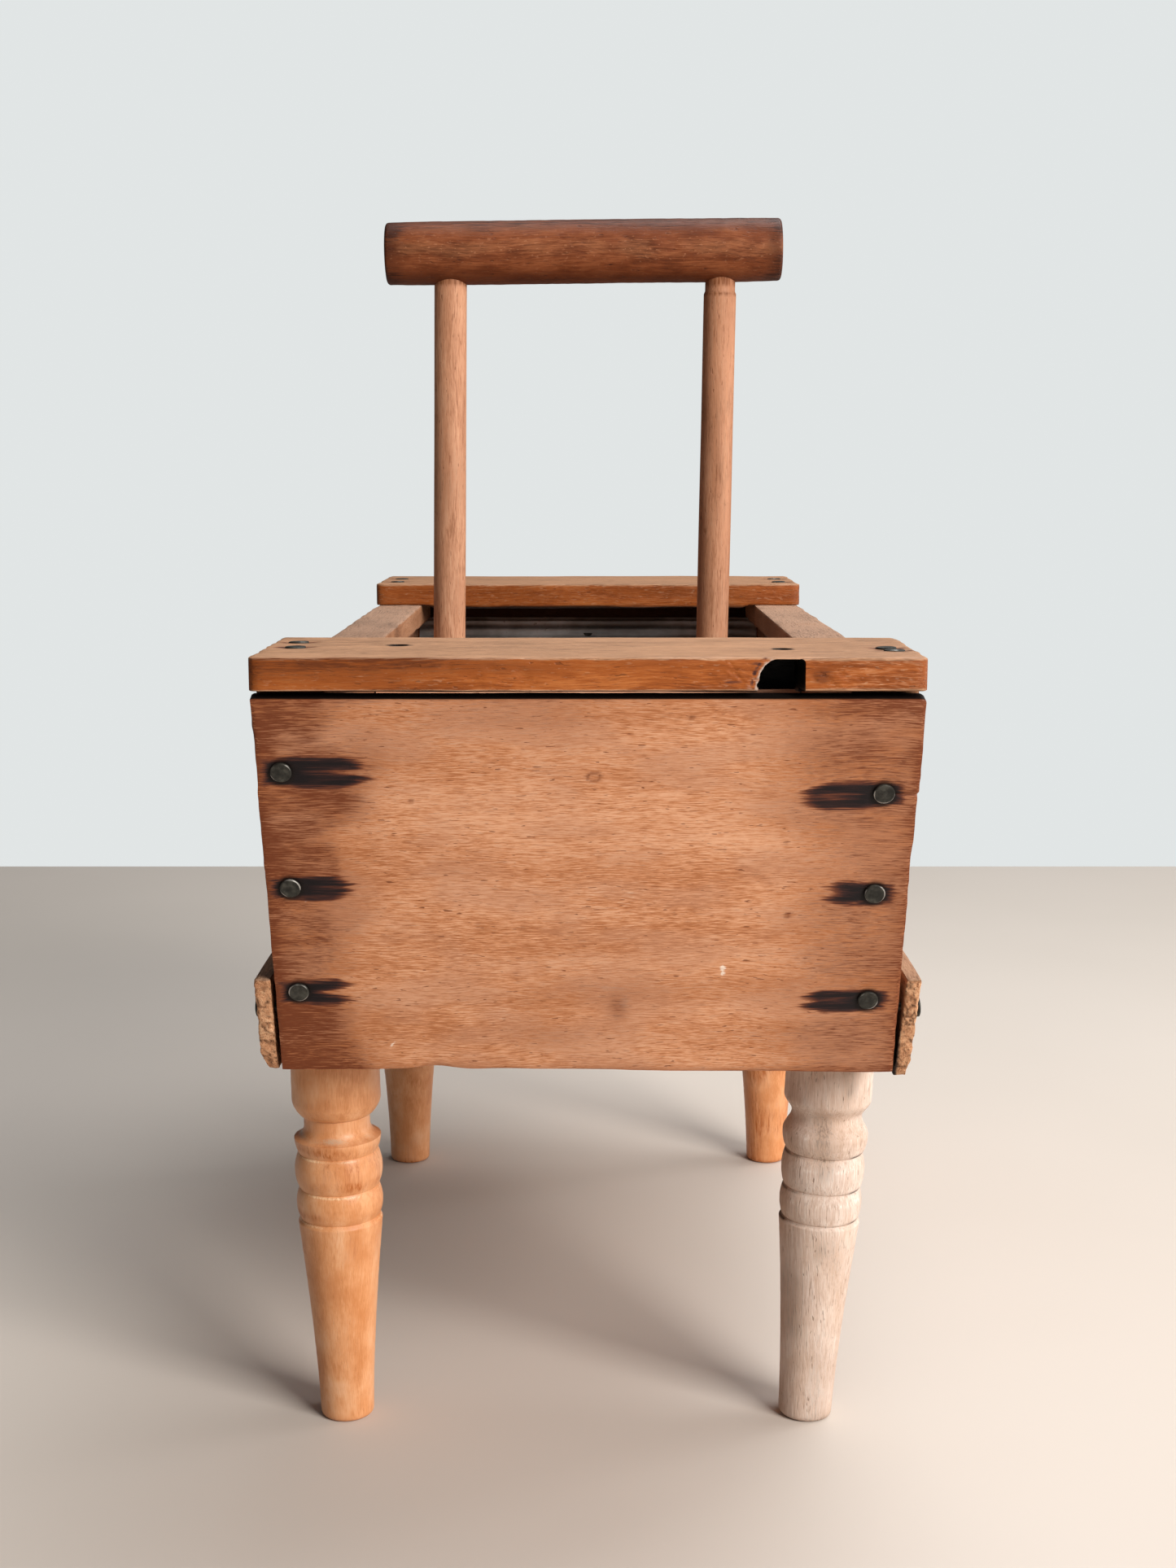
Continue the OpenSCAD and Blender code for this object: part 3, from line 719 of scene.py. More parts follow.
def boardGrime(points, low, high, worn):
    x, z = points[:, 0], points[:, 2]
    wander = softNoise(points, 0.011, 31) * 4 * mm
    patchy = 0.82 + 0.30 * softNoise(points, (0.009, 0.05, 0.005), 33)
    patchy += 0.32 * softNoise(points, (0.006, 0.05, 0.0022), 34)
    left = 0.60 * (1 - smooth(low[0] + 0.001, low[0] + 0.034, x + wander)) * patchy
    left += 0.20 * (1 - smooth(-0.066, -0.046, x + wander)) + 0.75 * np.exp((low[0] - x) / (1.6 * mm))
    rims = 0.42 * np.exp((x - high[0]) / (1.8 * mm)) + 0.55 * np.exp((z - high[2]) / (1.3 * mm))
    rims += 0.30 * np.exp((low[2] - z) / (1.4 * mm))
    right = 0.40 * smooth(0.030, 0.078, x) + spots(points, boardMarks["right"])
    clouds = 0.20 * np.clip(softNoise(points, (0.024, 0.05, 0.013), 32), 0, 1)
    total = left + rims + right + clouds
    if worn:
        edge = fade(-62.6, -64.6, x)
        total += 0.20 * edge * smooth(0.165, 0.168, z) * smooth(0.1835, 0.178, z)
        total += 0.28 * smooth(-0.058, -0.066, x + wander * 0.5) * smooth(0.137, 0.131, z + wander * 0.3)
        ring = np.hypot(x / mm - 1.5, (z / mm - 199) * 1.5)
        total += 0.48 * bell((ring - 1.6) / 0.6) + spots(points, boardMarks["grime"])
    return total


def dents(flat, heads, width):
    # How deep the wood is dented round its nails, from points and heads in the face's plane
    depth = 0.45 * mm
    return sum(depth * np.exp(-((flat - head) ** 2).sum(1) / (width * mm) ** 2) for head in heads)


def buildEndBoard(side):
    name, detail = ("front_end_board", "endBoardFront") if side < 0 else ("rear_end_board", "endBoardRear")
    look = endBoardLook
    low, high = limits(name)
    low[0] -= look["widen"] * mm
    high[0] += look["widen"] * mm
    heads = nailPlaces["front_board_nails" if side < 0 else "rear_board_nails"]
    local = np.array([[low[0], -endRun, low[2]], [high[0], 0, high[2]]])
    points, quads, out = roundedBox(local[0], local[1], look["edge"] * mm, np.array(look["step"]) * mm,
                                    wear=0.5, seed=11 + side, edgeSteps=2)
    # points are (across, depth behind the outer face, height): planing marks and wear first
    marks = softNoise(points, (0.045, 0.05, 0.004), 21) + 0.5 * softNoise(points, (0.02, 0.05, 0.0016), 22)
    points = points + out * (marks * look["wave"] * mm)[:, None]
    x, y, z = points.T
    edge = fade(4, 1, high[0] - np.abs(x))
    ragged = softNoise(points, (0.05, 0.05, 0.013), 23) * 0.20
    ragged += softNoise(points, (0.05, 0.01, 0.0022), 25) * 0.14
    x += np.sign(x) * edge * ragged * mm
    lowEdge = 1 - fade(0, 3, z - low[2])
    z += lowEdge * softNoise(points, (0.016, 0.05, 0.05), 24) * 0.3 * mm
    outer = smooth(-endRun, -endRun * 0.5, y)
    y -= outer * dents(points[:, [0, 2]], heads[:, [0, 2]], look["dentWidth"])
    bevel = fade(-4.5, -1.5, y)
    z -= smooth(high[2] - 4 * mm, high[2], z) * bevel * look["topGap"] * mm
    if side < 0:
        # the split that runs from the top right nail to the board's edge, and the edge above it
        split = heads[np.argmax(heads[:, 0] + heads[:, 2])]
        above = fade(-0.3, 0.3, z - split[2]) * smooth(0.070, high[0], x)
        x += (above - 0.5) * smooth(0.074, high[0], x) * 0.45 * mm
        crack = bell((z - split[2]) / (0.5 * mm)) * (x > split[0])
        y -= crack * outer * 0.7 * mm
        # a long thin chip out of the lower edge, left of the middle, and a lower right corner
        chip = bell((x + 0.041) / (6 * mm)) * lowEdge
        z += chip * 0.9 * mm
        y -= chip * outer * 0.7 * mm
        z -= lowEdge * smooth(-0.02, 0.08, x) * 0.9 * mm
    sunk = np.clip(-y, 0, endRun)
    world = points.copy()
    world[:, 1] = side * (endFoot + (z - undersideZ) * endRise - sunk)
    if side > 0:
        quads = quads[:, ::-1]
    mesh = makeMesh(detail, world, quads[:, ::-1])
    p = meshPoints(mesh)
    x, y, z = p.T
    face = fade(2.5, 0.5, faceDepth(p, side))
    raw = np.zeros(len(p))
    ash = np.zeros(len(p))
    if side < 0:
        dry = spots(p, boardMarks["dry"]) * (0.9 + 0.4 * softNoise(p, (0.018, 0.05, 0.006), 35))
        raw = spots(p, boardMarks["raw"]) + dry
        for atX, atZ, slope in ((-52.5, 122.0, 1.4), (-72.8, 165.0, -0.9)):
            across = (z / mm - atZ) - slope * (x / mm - atX)
            raw += 0.7 * bell(across / 0.6) * spot(p, atX, atZ, 1.6, 1.8)
        ash = spots(p, boardMarks["ash"])
        topEdge = smooth(high[2] - 0.9 * mm, high[2] - 0.1 * mm, z)
        ash += 0.5 * topEdge * spot(p, 45, high[2] / mm, 6, 9)
    topZ = high[2] - look["topGap"] * mm
    depth = faceDepth(p, side)
    # painted shade on the board's top edge, down in the gap under the rail
    black = smooth(topZ - 0.6 * mm, topZ - 0.25 * mm, z) * fade(0.3, 1.3, depth)
    # no light reaches the inner face above the liner
    shaded = fade(6, 8, depth) * smooth(high[2] - 12 * mm, high[2] - 7 * mm, z)
    black = np.maximum(black, 0.9 * shaded)
    # a painted shadow ring just round each nail head
    for head in heads:
        near = np.hypot(x - head[0], z - head[2]) / mm
        black = np.maximum(black, 0.85 * smooth(4.0, 3.0, near) * face)
    paint(mesh, stain=boardStain(p, heads) * face, grime=boardGrime(p, low, high, side < 0), raw=raw,
          ash=ash, black=black)
    addPiece(detail, mesh, "tub", boardFinish, [name])


buildEndBoard(-1)
buildEndBoard(1)
print("end boards made")

railShape = {"edge": 1.5, "step": (1.3, 1.5, 0.45), "wave": 0.12, "widen": 0.5, "corner": 2.6, "sag": 1.2,
             "sagEnd": 64, "holeRadius": 2.5, "dentWidth": 4.0}
sideShape = {"railEdge": 1.3, "railStep": 2.2, "boardEdge": 0.8, "boardStep": 2.0, "marks": 0.12,
             "boreRadius": 4.82}
notchLook = {"middle": 47.0, "radius": 6.0, "height": 8.0, "depth": 16.0}


def railHoleCentres():
    # The two holes of the front rail, from the record's mounts
    return [np.array(m["pos_m"]) for m in frame["record"]["mounts"] if m["kind"] == "bore"]


def drill(centre, radius, length, axis=2):
    rings = 41
    points, quads = lathe(np.linspace(-length / 2, length / 2, rings), np.full(rings, radius), 32)
    if axis == 0:
        points = points[:, [2, 0, 1]]
    return makeMesh("drill", points + centre, quads)


def notchOutline():
    # The notch seen from the front, in metres from the rail's underside: a quarter round
    # on the left, flat above, and a small round into the upright right side
    look = notchLook
    turn = np.linspace(0, np.pi / 2, 19)
    left = look["middle"] - look["radius"] * np.cos(turn) ** 0.8
    rise = look["height"] * np.sin(turn) ** 1.1
    right = look["middle"] + look["radius"]
    corner = np.linspace(np.pi / 2, 0, 6)
    x = np.concatenate([[left[0]], left, right - 1.5 + 1.5 * np.cos(corner), [right, right]]) * mm
    z = np.concatenate([[-1.5], rise, look["height"] - 1.5 + 1.5 * np.sin(corner), [3.0, -1.5]]) * mm
    return x, z


def notchCutter(low):
    # A tunnel from the rail's front face that narrows a little inwards, with torn walls
    look = notchLook
    x, z = notchOutline()
    deep = np.linspace(-2.0, look["depth"], 34) * mm
    taper = 1 - 0.2 * smooth(0.0, look["depth"] * mm, deep)
    centre = look["middle"] * mm
    gx = centre + (x[None, :] - centre) * taper[:, None]
    gz = low[2] + np.where(z > 0, z[None, :] * taper[:, None], z[None, :])
    gy = low[1] + np.repeat(deep[:, None], len(x), 1)
    points = np.stack([gx, gy, gz], -1).reshape(-1, 3)
    rough = softNoise(points, (0.0011, 0.0024, 0.0011), 41) * 0.5 * mm
    leftSide = smooth(centre + 2 * mm, centre - 4 * mm, points[:, 0])
    points[:, 0] += rough * (0.2 + leftSide)
    points[:, 2] += rough * 0.6 * (points[:, 2] > low[2])
    count = len(x)
    ends = [np.tile(points[i * count:(i + 1) * count].mean(0), (count, 1)) for i in (0, len(deep) - 1)]
    quads = gridQuads(len(deep) + 2, count, wrap=True)
    return outwards(makeMesh("notch", np.concatenate([ends[0], points, ends[1]]), quads))


def buildEndRail(side):
    name, detail = ("front_top_rail", "railFront") if side < 0 else ("rear_top_rail", "railRear")
    look = railShape
    low, high = limits(name)
    low[0] -= look["widen"] * mm
    high[0] += look["widen"] * mm
    heads = nailPlaces["front_rail_nails" if side < 0 else "rear_rail_nails"]
    centre = notchLook["middle"] * mm
    fine = (centre - 15 * mm, centre + 20 * mm, 0.4 * mm) if side < 0 else None
    points, quads, out = roundedBox(low, high, look["edge"] * mm, np.array(look["step"]) * mm, wear=0.35,
                                    seed=51 + side, fine=fine)
    marks = softNoise(points, (0.05, 0.004, 0.003), 52)
    marks += 0.6 * softNoise(points, (0.011, 0.0025, 0.0016), 53)
    points = points + out * (marks * look["wave"] * mm)[:, None]
    x, y, z = points.T
    # the plan's corners are worn to a rounder radius than the long edges
    worn = look["corner"] * mm
    middle, half = (low + high) / 2, (high - low) / 2
    offset = points[:, :2] - middle[:2]
    over = np.maximum(np.abs(offset) - (half[:2] - worn), 0)
    away = np.linalg.norm(over, axis=1)
    keep = np.minimum(1, worn / np.maximum(away, 1e-9))[:, None]
    points[:, :2] -= np.sign(offset) * over * (1 - keep)
    # behind the board the underside sags a little, which keeps light out of the notch
    inwards = side * (y - side * (endFoot + (low[2] - undersideZ) * endRise - endRun))
    sag = smooth(low[2] + 1.0 * mm, low[2], z) * fade(-0.6, -1.6, inwards)
    sag *= smooth(look["sagEnd"] * mm, (look["sagEnd"] - 4) * mm, np.abs(x))
    z -= sag * look["sag"] * mm
    top = smooth(high[2] - 1.5 * mm, high[2], z)
    z -= top * dents(points[:, :2], heads[:, :2], look["dentWidth"])
    front = smooth(low[1] + 1.2 * mm, low[1], y) * (side < 0)
    # half-round dings left of the middle, and grain torn out on both sides of the notch
    rng = np.random.default_rng(7)
    dings = np.zeros(len(points))
    for atX, atZ in zip(rng.uniform(-34, -12, 10), low[2] / mm + rng.uniform(0.6, 6.0, 10)):
        dings = np.maximum(dings, spot(points, atX, atZ, 1.1, 0.8))
    torn = spot(points, 37, low[2] / mm + 4, 4, 4) + spot(points, 61, low[2] / mm + 2.5, 6, 2.5)
    slanted = np.stack([x + z * 0.9, y, z * 0.5], -1)
    torn *= softNoise(slanted, 0.0009, 57)
    y += front * (dings * 0.35 + torn * 0.22) * mm
    mesh = makeMesh(detail, points, quads[:, ::-1])
    if side < 0:
        holes = [drill(c, look["holeRadius"] * mm, 30 * mm) for c in railHoleCentres()]
        mesh = cutAway(mesh, [notchCutter(low), *holes])
    p = meshPoints(mesh)
    x, y, z = p.T
    rise = (z - low[2]) / (high[2] - low[2])
    above = smooth(high[2] - 1.0 * mm, high[2] - 0.2 * mm, z + 0.25 * mm * softNoise(p, 0.004, 54))
    raw = above * (0.85 + 0.15 * softNoise(p, 0.01, 55))
    stain = np.zeros(len(p))
    for head in heads:
        stain = np.maximum(stain, streak(p, head, 5.5, 1.9, 5.5, 0.5, across=1) * above * 0.9)
    outer = low[1] if side < 0 else high[1]
    depth = np.abs(y - outer)
    front = fade(1.4, 0.4, depth)
    grime = 0.45 * np.exp(-(high[0] - np.abs(x)) / (2.2 * mm)) * (1 - above)
    bands = 0.5 + 0.5 * softNoise(p, (0.03, 0.01, 0.0032), 56)
    grime += front * (0.45 * smooth(0.45, 0.95, rise) + 0.3 * bands) * smooth(0.02, -0.07, x)
    grime += front * 0.22 * bands * smooth(0.3, 0.8, rise)
    raw += front * (1 - above) * 0.8 * smooth(0.09, 0.03, rise)
    raw += (1 - above) * (0.34 * smooth(0.0, 0.075, x) if side < 0 else 0.3)
    # painted shade on the underside, behind the front face
    black = 0.9 * smooth(0.02, -0.01, rise) * fade(1.5, 3.0, depth)
    ash = np.zeros(len(p))
    if side < 0:
        for z0, slope, x0, x1 in ((2.2, 0.012, -78, -32), (5.1, 0.004, -50, 5), (3.4, 0.02, -66, -44)):
            line = z / mm - low[2] / mm - z0 - slope * (x / mm - x0)
            along = smooth(x0, x0 + 4, x / mm) * smooth(x1, x1 - 4, x / mm)
            broken = smooth(-0.5, 0.3, softNoise(p, (0.007, 0.01, 0.01), 58))
            raw += front * 0.42 * bell(line / 0.35) * along * broken
        outlineX, outlineZ = notchOutline()
        far = np.hypot(p[:, :1] - outlineX, p[:, 2:] - low[2] - outlineZ).min(1)
        leftSide = smooth(centre + 1 * mm, centre - 3 * mm, x)
        ash = 0.72 * bell(far / (0.55 * mm)) * (leftSide + 0.05) * fade(1.8, 0.6, depth)
        ash *= 0.8 + 0.5 * softNoise(p, 0.0025, 59)
        fibres = softNoise(np.stack([x + z * 0.7, y, z * 0.4], -1), 0.0009, 60)
        beside = front * leftSide * bell((far - 1.6 * mm) / (1.5 * mm))
        ash += 0.35 * beside * smooth(-0.2, 0.7, fibres)
        ash += 0.3 * front * spot(p, 31, low[2] / mm + 1.2, 7, 0.5)
        # the notch's tunnel is painted near-black as shade
        tunnel = (np.abs(x - centre) < 7.2 * mm) * (depth < 17.4 * mm) * (rise < 0.975)
        black = np.maximum(black, tunnel * fade(0.5, 1.5, depth))
        rim = bell((far - 1.3 * mm) / (0.8 * mm)) * leftSide * front
        grime += 0.75 * front * (1 - above) * spot(p, 57, low[2] / mm + 3.8, 2.8, 2.2)
        marks = (0.75 * spot(p, 35, low[2] / mm + 2.2, 4.0, 0.7),
                 0.6 * spot(p, 41, low[2] / mm + 7, 3.0, 1.0))
        rim *= 0.8 - 0.3 * fibres
        stain = np.maximum(stain, front * np.maximum(0.72 * rim, np.max(marks, axis=0)))
        for hole in railHoleCentres():
            lip = bell((x - hole[0] + 4.4 * mm) / (1.2 * mm)) * bell((y - hole[1]) / (2.2 * mm))
            raw = np.maximum(raw, lip * above * 1.6)
            # painted shade round the mouth of each hole
            off = np.linalg.norm(p[:, :2] - hole[:2], axis=1)
            black = np.maximum(black, fade(3.4, 2.7, off))
    else:
        grime = grime + 0.18
    paint(mesh, stain=stain, grime=grime, raw=raw, black=black, ash=ash)
    addPiece(detail, mesh, "tub", railFinish, [name])


def betweenEnds(points, zone):
    # Slides the ends of a level piece along Y so that they meet the sloping end boards
    reach = endFoot + (points[:, 2] - undersideZ) * endRise - endRun
    points[:, 1] *= reach / zone
    return points


def buildSideRail(side):
    name, detail = ("left_top_rail", "railLeft") if side < 0 else ("right_top_rail", "railRight")
    low, high = limits(name)
    look = sideShape
    points, quads, out = roundedBox(low, high, look["railEdge"] * mm, look["railStep"] * mm, wear=0.5,
                                    seed=61 + side)
    marks = softNoise(points, (0.003, 0.05, 0.003), 62) * look["marks"] * mm
    points = betweenEnds(points + out * marks[:, None], high[1])
    mesh = makeMesh(detail, points, quads[:, ::-1])
    p = meshPoints(mesh)
    above = smooth(high[2] - 1.0 * mm, high[2] - 0.2 * mm, p[:, 2])
    # worn raw top; the underside is painted darker as shade
    paint(mesh, raw=above * (0.8 + 0.2 * softNoise(p, 0.012, 63)),
          grime=0.4 * smooth(low[2] + 1.0 * mm, low[2], p[:, 2]) + 0.2)
    addPiece(detail, mesh, "tub", sideFinish, [name])


def buildSideBoard(side):
    name, detail = ("left_side_board", "sideLeft") if side < 0 else ("right_side_board", "sideRight")
    low, high = limits(name)
    look = sideShape
    points, quads, out = roundedBox(low, high, look["boardEdge"] * mm, look["boardStep"] * mm, wear=0.4,
                                    seed=65 + side, edgeSteps=2)
    marks = softNoise(points, (0.01, 0.06, 0.006), 66) * look["marks"] * mm
    points = betweenEnds(points + out * marks[:, None], high[1])
    pivot = np.array(frame["record"]["behaviour"]["joints"][0]["pos_m"])
    middle = np.array([(low[0] + high[0]) / 2, pivot[1], pivot[2]])
    bore = drill(middle, look["boreRadius"] * mm, 40 * mm, axis=0)
    mesh = cutAway(makeMesh(detail, points, quads[:, ::-1]), [bore])
    p = meshPoints(mesh)
    x, y, z = p.T
    off = np.hypot(y - pivot[1], z - pivot[2])
    stain = np.clip(0.5 + (9 * mm - off) / (14 * mm), 0, 0.75) * (off < 17 * mm)
    inner = np.abs(x) < min(abs(low[0]), abs(high[0])) + 1 * mm
    # patchy grime, with painted shade on the lower part, the inner face and the top just under the rail
    grime = 0.15 + 0.35 * smooth(0.150, 0.125, z) + 0.25 * inner
    grime += 0.2 * np.clip(softNoise(p, 0.03, 67), 0, 1) + 0.3 * smooth(high[2] - 3 * mm, high[2], z)
    paint(mesh, stain=stain, grime=grime)
    addPiece(detail, mesh, "tub", sideFinish, [name])


# How far each strip's inner edge stands off its board, and how much lower its foot hangs
stripShape = {"edge": 1.1, "step": (0.6, 1.6, 0.6), "standOff": {-1: 1.5, 1: 0.6}, "drop": {-1: 1.4, 1: 3.6}}


def buildStrip(side):
    name, detail = ("left_skirt_strip", "stripLeft") if side < 0 else ("right_skirt_strip", "stripRight")
    low, high = limits(name)
    inner = high[0] if side < 0 else low[0]
    look = stripShape
    (high if side < 0 else low)[0] += side * look["standOff"][side] * mm
    low[2] -= look["drop"][side] * mm
    points, quads, out = roundedBox(low, high, look["edge"] * mm, np.array(look["step"]) * mm, wear=0.5,
                                    seed=71 + side, edgeSteps=2)
    endY = np.abs(points[:, 1]) - (high[1] - 4 * mm)
    tip = fade(0, 4, endY)
    # rough end grain and worn lower corners
    points = points + out * (softNoise(points, 0.0009, 72) * 0.34 * mm * tip)[:, None]
    x, y, z = points.T
    t = (z - low[2]) / (high[2] - low[2])
    drop = smooth(0.24, 0.0, t) ** 2
    x -= side * drop * 1.6 * mm * smooth(0.0, 1.0, np.abs(x - inner) / (5 * mm))
    if side > 0:
        # the right strip stands off at its top and is thinner at its foot
        x += (t - 0.15) * 1.4 * mm * smooth(high[0] + 1e-4, low[0] + 2 * mm, x)
        x -= (1 - t) * 1.3 * mm * smooth(low[0] + 2.5 * mm, high[0], x)
    reach = endFoot + (z - undersideZ) * endRise
    y *= (reach - 0.2 * mm) / high[1]
    y -= np.sign(y) * drop * 0.9 * mm * tip
    mesh = makeMesh(detail, points, quads[:, ::-1])
    p = meshPoints(mesh)
    x, y, z = p.T
    endY = np.abs(y) - (endFoot + (z - undersideZ) * endRise) + 1.3 * mm
    tip = fade(0, 0.8, endY)
    pits = smooth(-0.3, 0.6, softNoise(p, 0.00068, 73) + 0.35 * softNoise(p, 0.003, 74))
    above = smooth(high[2] - 0.9 * mm, high[2] - 0.2 * mm, z)
    heads = nailPlaces["left_strip_nails" if side < 0 else "right_strip_nails"]
    stain = np.zeros(len(p))
    for head in heads:
        near = np.sqrt(((y - head[1]) / 2.6) ** 2 + (z - head[2]) ** 2) / mm
        outside = (np.abs(x) > abs(inner) + 3 * mm) * (1 - tip)
        stain = np.maximum(stain, np.clip(0.5 + (3.6 - near) * 0.2, 0, 1) * outside)
    offBoard = np.abs(np.abs(x) - abs(inner))
    rims = tip * fade(1.6, 0.3, np.minimum(z - low[2], offBoard))
    # painted shade in the gap between the strip and its board
    black = fade(1.7, 0.7, offBoard) * (1 - above)
    paint(mesh, raw=above * 0.9, grime=tip * pits * 0.62 + 0.35 * rims + 0.15 * (1 - tip), stain=stain,
          black=black)
    addPiece(detail, mesh, "tub", stripFinish, [name])


for hand in (-1, 1):
    buildEndRail(hand)
    buildSideRail(hand)
    buildSideBoard(hand)
    buildStrip(hand)
print("rails and strips made")

# Diameters in mm: foot, top of the taper, grooves, three beads upwards, neck, top block
varnished = {"turning": (15.4, 24.3, 22.7, 24.9, 25.3, 24.9, 19.0, 25.5), "extraDark": 0.0,
             "finish": varnishFinish, "slot": "varnished_turning"}
bare = {"turning": (15.5, 23.3, 21.6, 23.6, 23.9, 24.6, 20.2, 25.1), "extraDark": 0.0,
        "finish": bareFinish, "slot": "bare_turning"}
# The rear right leg is painted darker all over.
legLooks = {
    "front_left_leg": {**varnished, "axisTop": -72.7, "axisFoot": -70.7},
    "front_right_leg": {**bare, "axisTop": 69.9, "axisFoot": 63.8},
    "rear_left_leg": {**varnished, "axisTop": -71.5, "axisFoot": -71.5},
    "rear_right_leg": {**varnished, "axisTop": 71.5, "axisFoot": 71.5, "extraDark": 0.22},
}
legHeights = {
    False: {"taper": 60.0, "groove": 61.2, "bead2": 70.2, "bead3": 80.8, "ring": 85.1, "neck": 88.9,
            "corner": 91.4, "block": 96.2},
    True: {"taper": 60.0, "groove": 61.0, "bead2": 70.2, "bead3": 80.8, "ring": 86.0, "neck": 91.6,
           "corner": 91.8, "block": 96.8},
}


def legRadius(z, turning, soft):
    # Radius in mm at height z in mm. The shank tapers by a power law. A bead is a half sine
    # raised to a power below 1, which makes it fuller. Above the ring a cove runs in to the
    # neck, and the block's lower edge is rounded. The soft leg's shapes are worn to waves.
    foot, taper, groove, beadA, beadB, beadC, neck, block = turning
    h = legHeights[soft]

    def part(low, high):
        return np.clip((z - low) / (high - low), 0, 1)

    full = 0.62 if soft else 0.75
    shank = foot + (taper - foot) * part(0, h["taper"]) ** 1.5
    step = taper + (groove - taper) * part(h["taper"], h["groove"])
    lower = groove + (beadA - groove) * np.sin(np.pi * part(h["groove"], h["bead2"])) ** full
    upper = groove + (beadB - groove) * np.sin(np.pi * part(h["bead2"], h["bead3"])) ** full
    fuller = 0.6 if soft else 0.8
    ring = groove + (beadC - groove) * np.sin(np.pi / 2 * part(h["bead3"], h["ring"])) ** fuller
    t = part(h["ring"], h["neck"])
    cove = (1 + np.cos(np.pi * t)) / 2 if soft else 1 - np.sqrt(np.clip(1 - (1 - t) ** 2, 0, 1))
    cove = neck + (beadC - neck) * cove
    t = part(h["corner"], h["block"])
    edge = (1 - np.cos(np.pi * t)) / 2 if soft else (1 - (1 - t) ** 1.5) ** (1 / 1.5)
    below = [z < h[key] for key in ("taper", "groove", "bead2", "bead3", "ring", "corner")]
    size = np.select(below, [shank, step, lower, upper, ring, cove], neck + (block - neck) * edge)
    footRound = 1.5
    lip = np.clip(footRound - z, 0, footRound)
    return size / 2 - (footRound - np.sqrt(footRound ** 2 - lip ** 2))


def buildLeg(name):
    look = legLooks[name]
    soft = name == "front_right_leg"
    legTop = undersideZ
    zs = np.concatenate([np.linspace(0, 1.5, 7), np.arange(2.0, 59.0, 0.8), np.arange(59.0, 97.4, 0.22),
                         np.arange(97.5, legTop / mm, 0.9), [legTop / mm]])
    radii = legRadius(zs, look["turning"], soft)
    seed = 80 + sorted(legLooks).index(name)
    points, quads = lathe(zs * mm, radii * mm, 88)
    around = np.arctan2(points[:, 1], points[:, 0])
    size = np.hypot(points[:, 0], points[:, 1])
    ringed = softNoise(np.stack([0 * around, 0 * around, points[:, 2]], -1), 0.0009, seed) * 0.05
    lumps = softNoise(points * (1, 1, 0.3), 0.006, seed + 1) * 0.09
    scale = 1 + (ringed + lumps) * mm / np.maximum(size, 2 * mm)
    points[:, :2] *= scale[:, None]
    leanBy = (look["axisTop"] - look["axisFoot"]) * mm / legTop
    middleY = (nodePoints(name)[:, 1].min() + nodePoints(name)[:, 1].max()) / 2
    inside = (points[:, 2] < legTop - 1e-6) & (points[:, 2] > 1e-6)
    points[:, 2] -= inside * leanBy * points[:, 0]
    points[:, 2] = np.clip(points[:, 2], 0, legTop)
    points[:, 0] += look["axisFoot"] * mm + leanBy * points[:, 2]
    points[:, 1] += middleY
    detail = name.replace("_", "") + "Turned"
    mesh = makeMesh(detail, points, quads)
    p = meshPoints(mesh)
    z = p[:, 2] / mm
    h = legHeights[soft]
    bands = (h["groove"], h["bead2"], h["bead3"])
    patchy = 0.6 + 0.6 * softNoise(p, 0.005, seed + 2)
    blotch = np.clip(softNoise(p, (0.007, 0.007, 0.012), seed + 3), 0, 1)
    if soft:
        # bleached shoulders, grooves darkened by grime and painted shade, one grey knot low on the shank
        thin = sum(bell((z - c) / 0.4) for c in bands)
        shoulders = (h["groove"] + 6.2, h["bead2"] + 7.2, h["ring"] + 0.7)
        raw = sum(bell((z - c) / 1.6) for c in shoulders) * 0.42 * patchy
        grime = 0.45 * thin * patchy + 0.5 * blotch + 0.2 * smooth(3.0, 0.0, z)
        black = 0.75 * thin * smooth(-0.2, 0.4, softNoise(p, (0.004, 0.004, 0.05), seed + 5))
        knot = bell((z - 27) / 2.2) * bell((p[:, 0] - 0.067) / (4 * mm))
        ash = 0.5 * knot * (0.6 + 0.8 * softNoise(p, (0.001, 0.001, 0.003), seed + 6)) + 0.25 * blotch
    else:
        # painted highlights just under each groove, darker orange-brown on the lower half of each bead,
        # and dust in the hollow above the ring
        raw = sum(bell((z - c + 0.5) / 0.45) for c in bands) * 0.75 * patchy
        deep = sum(bell((z - c - 2.4) / 1.7) for c in bands)
        grime = 0.42 * deep * patchy + 0.42 * blotch + 0.3 * smooth(3.0, 0.0, z)
        grime += 0.25 * bell((z - h["block"] - 1) / 2) * patchy
        ash = 0.65 * bell((z - h["ring"] - 1.0) / 1.1) * patchy
        black = 0 * z
    paint(mesh, grime=grime + look["extraDark"], raw=raw, black=black, ash=ash)
    addPiece(detail, mesh, "tub", look["finish"], [name])


for legName in legLooks:
    buildLeg(legName)
print("legs turned")

handleLook = {"barEnd": 1.1, "barLumps": 0.16, "rodLumps": 0.07, "neckBelow": 2.4, "neckDiameter": 9.7}


def axisOf(name, along):
    # A straight round piece's axis: the middles of its two end faces
    points = nodePoints(name)
    low, high = points[:, along].min(), points[:, along].max()
    span = (high - low) * 0.03
    ends = []
    for near in (points[points[:, along] < low + span], points[points[:, along] > high - span]):
        ends.append((near.min(0) + near.max(0)) / 2)
    return np.array(ends)


def layAlong(points, start, end):
    # Turns a shape made about Z so that its axis runs from start to end
    way = (end - start) / np.linalg.norm(end - start)
    side = np.cross([0.0, 1.0, 0.0], way)
    side /= np.linalg.norm(side)
    front = np.cross(way, side)
    return start + points[:, :1] * side + points[:, 1:2] * front + points[:, 2:] * way


